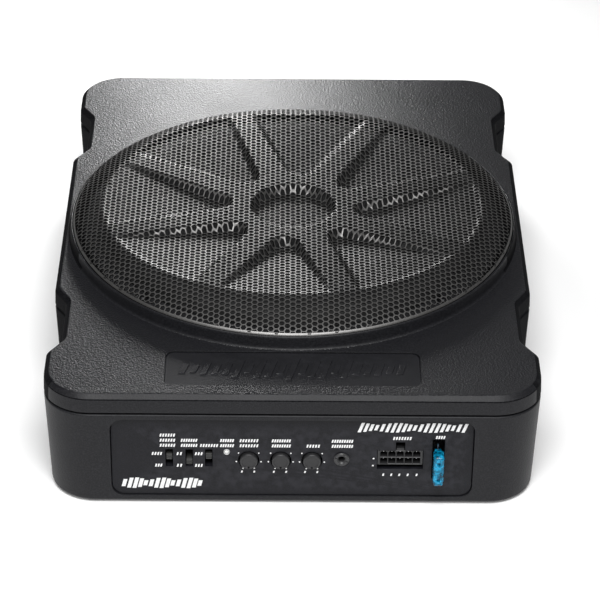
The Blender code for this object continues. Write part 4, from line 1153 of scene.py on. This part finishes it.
def make_stage():
    """Plain pale floor, soft studio light and the camera."""
    look = bpy.context.scene.subwoofer_stage
    bpy.ops.object.select_all(action="DESELECT")
    bpy.ops.mesh.primitive_circle_add(vertices=96, radius=1.7, fill_type="NGON")
    floor = bpy.context.object
    floor.name = "floor"
    paper = Finish("floor_paper", Specular_IOR_Level=0.1, Emission_Color=(1.0, 1.0, 1.0, 1.0),
                   Emission_Strength=0.12)
    mottle = paper.noise(60.0, 3.0)
    pale = tuple(look.floor_colour)
    paper.feed(Base_Color=paper.mix(mottle, pale, tuple(c * 0.985 for c in pale)),
               Roughness=0.8 + mottle * 0.1)
    floor.data.materials.append(paper.material)

    world = bpy.data.worlds.new("studio")
    bpy.context.scene.world = world
    world.use_nodes = True
    even = world.node_tree.nodes["Background"]
    even.inputs["Color"].default_value = (1.0, 1.0, 1.0, 1.0)
    even.inputs["Strength"].default_value = look.surround_light
    backdrop = world.node_tree.nodes.new("ShaderNodeBackground")
    chooser = world.node_tree.nodes.new("ShaderNodeMixShader")
    path = world.node_tree.nodes.new("ShaderNodeLightPath")
    for source, target in ((path.outputs["Is Camera Ray"], chooser.inputs[0]),
                           (even.outputs[0], chooser.inputs[1]), (backdrop.outputs[0], chooser.inputs[2]),
                           (chooser.outputs[0], world.node_tree.nodes["World Output"].inputs[0])):
        world.node_tree.links.new(source, target)
    backdrop.inputs["Color"].default_value = (1.0, 1.0, 1.0, 1.0)

    def softbox(name, place, aim, size, power):
        bpy.ops.object.light_add(type="AREA", location=place)
        lamp = bpy.context.object
        lamp.name = name
        lamp.data.shape = "RECTANGLE"
        lamp.data.size, lamp.data.size_y = size
        lamp.data.energy = power
        lamp.rotation_euler = (Vector(aim) - Vector(place)).to_track_quat("-Z", "Y").to_euler()
        lamp.visible_camera = False

    softbox("rear_softbox", (-0.055, 0.5, 0.215), (-0.055, 0.1, 0.07), (0.14, 0.16), look.rear_power)
    softbox("high_softbox", (0.0, -1.0, 1.55), (0.0, 0.0, 0.0), (0.9, 0.9), look.high_power)
    softbox("front_softbox", (0.2, -1.9, 0.7), (0.0, -0.1, 0.04), (1.0, 0.6), look.front_power)

    place = Vector((-0.005373, -1.339643, 0.871149))
    forward = Vector((0.006293, 0.843173, -0.537605)).normalized()
    level_right = forward.cross(Vector((0.0, 0.0, 1.0))).normalized()
    up = level_right.cross(forward)
    roll = math.radians(0.611)
    right = level_right * math.cos(roll) + up * math.sin(roll)
    over = -level_right * math.sin(roll) + up * math.cos(roll)
    bpy.ops.object.camera_add(location=place)
    camera = bpy.context.object
    camera.name = "camera"
    camera.matrix_world = Matrix.Translation(place) @ Matrix((right, over, -forward)).transposed().to_4x4()
    camera.data.lens = 161.0
    camera.data.sensor_width = 36.0
    camera.data.clip_start = 0.01
    camera.data.clip_end = 50.0
    bpy.context.scene.camera = camera
    bpy.context.scene.view_settings.view_transform = "Standard"


# ---------------------------------------------------------------- settings, operators and panel

def colour_property(name, description, default):
    return bpy.props.FloatVectorProperty(name=name, description=description, subtype="COLOR", size=3,
                                         min=0.0, max=1.0, default=default)


def power_property(name, description, default):
    return bpy.props.FloatProperty(name=name, description=description, default=default,
                                   min=0.0, max=1000.0, unit="POWER")


class SUBWOOFER_PG_grille(bpy.types.PropertyGroup):
    """Sizes of the punched grille sheet."""

    pitch: bpy.props.FloatProperty(name="Pitch", description="Distance between neighbouring holes",
                                   default=0.00342, min=0.002, max=0.02, unit="LENGTH")
    hole: bpy.props.FloatProperty(name="Hole", description="Width of one hole across its flats",
                                  default=0.0027, min=0.0005, max=0.01, unit="LENGTH")


class SUBWOOFER_PG_finish(bpy.types.PropertyGroup):
    """Colours of the coats, ink and fuse."""

    coat_colour: colour_property("Coat", "Colour of the case's textured coat", (0.0072, 0.0073, 0.0088))
    panel_colour: colour_property("Panel", "Colour of the control panel", (0.0036, 0.0037, 0.0056))
    fuse_colour: colour_property("Fuse", "Colour of the fuse's clear plastic", (0.0005, 0.18, 0.32))
    ink_colour: colour_property("Ink", "Colour of the printed marks", (0.86, 0.86, 0.86))


class SUBWOOFER_PG_stage(bpy.types.PropertyGroup):
    """Floor and lights."""

    floor_colour: colour_property("Floor", "Colour of the floor", (0.92, 0.92, 0.92))
    surround_light: bpy.props.FloatProperty(
        name="Surround", description="Strength of the even studio light", default=0.11, min=0.0, max=10.0)
    rear_power: power_property("Rear softbox", "Power of the softbox behind the case", 1.12)
    high_power: power_property("High softbox", "Power of the softbox high in front", 38.0)
    front_power: power_property("Front softbox", "Power of the softbox in front", 2.0)


STEPS = (
    ("case_base", "Case Base", "Build the lower half of the case.", make_case_base),
    ("case_cover", "Case Cover", "Build the upper half of the case with its collar.", make_case_cover),
    ("badge", "Badge Plate", "Build the plate in the deck's recess.", make_badge),
    ("feet", "Feet and Screws", "Build the rubber feet and every screw.", make_feet_and_screws),
    ("grille", "Grille", "Punch and press the grille sheet.", make_grille),
    ("driver", "Driver", "Build the cone, its surround and its spider.", make_driver),
    ("amplifier", "Amplifier", "Finish the amplifier's parts.", make_amplifier),
    ("panel", "Control Panel", "Build the panel's face.", make_panel),
    ("marks", "Printed Marks", "Print the panel's plain marks.", make_marks),
    ("switches", "Switches", "Build the slide switches' nubs.", make_switches),
    ("knobs", "Knobs", "Build the three knobs.", make_knobs),
    ("led", "Indicator", "Build the indicator's lens and ring.", make_led),
    ("jack", "Remote Jack", "Build the jack's nut and barrel.", make_jack),
    ("connector", "Power Header", "Build the power header and its pins.", make_connector),
    ("fuse", "Fuse", "Build the blade fuse.", make_fuse),
    ("stage", "Stage", "Set up the floor, lights and camera.", make_stage),
)


def operator_for(key, label, text, make):
    """An operator class that runs one building step."""

    def execute(self, context):
        make()
        return {"FINISHED"}

    return type(f"SUBWOOFER_OT_{key}", (bpy.types.Operator,),
                {"bl_idname": f"subwoofer.{key}", "bl_label": label, "bl_options": {"REGISTER", "UNDO"},
                 "__doc__": text, "execute": execute})


OPERATORS = [operator_for(*step) for step in STEPS]


class SUBWOOFER_PT_builder(bpy.types.Panel):
    """Lists the sizes, colours and building steps."""

    bl_label = "Powered Subwoofer"
    bl_space_type = "VIEW_3D"
    bl_region_type = "UI"
    bl_category = "Subwoofer"

    def draw(self, context):
        layout = self.layout
        for group in (context.scene.subwoofer_grille, context.scene.subwoofer_finish,
                      context.scene.subwoofer_stage):
            for name in group.__annotations__:
                layout.prop(group, name)
        for key, label, _, _ in STEPS:
            layout.operator(f"subwoofer.{key}", text=label)


GROUPS = {"subwoofer_grille": SUBWOOFER_PG_grille, "subwoofer_finish": SUBWOOFER_PG_finish,
          "subwoofer_stage": SUBWOOFER_PG_stage}


def register():
    for name, group in GROUPS.items():
        bpy.utils.register_class(group)
        setattr(bpy.types.Scene, name, bpy.props.PointerProperty(type=group))
    for operator in OPERATORS:
        bpy.utils.register_class(operator)
    bpy.utils.register_class(SUBWOOFER_PT_builder)


def unregister():
    bpy.utils.unregister_class(SUBWOOFER_PT_builder)
    for operator in reversed(OPERATORS):
        bpy.utils.unregister_class(operator)
    for name, group in GROUPS.items():
        delattr(bpy.types.Scene, name)
        bpy.utils.unregister_class(group)


def main():
    register()
    FINISHES.update(make_finishes())
    for key, *_ in STEPS:
        getattr(bpy.ops.subwoofer, key)()


if __name__ == "__main__":
    main()
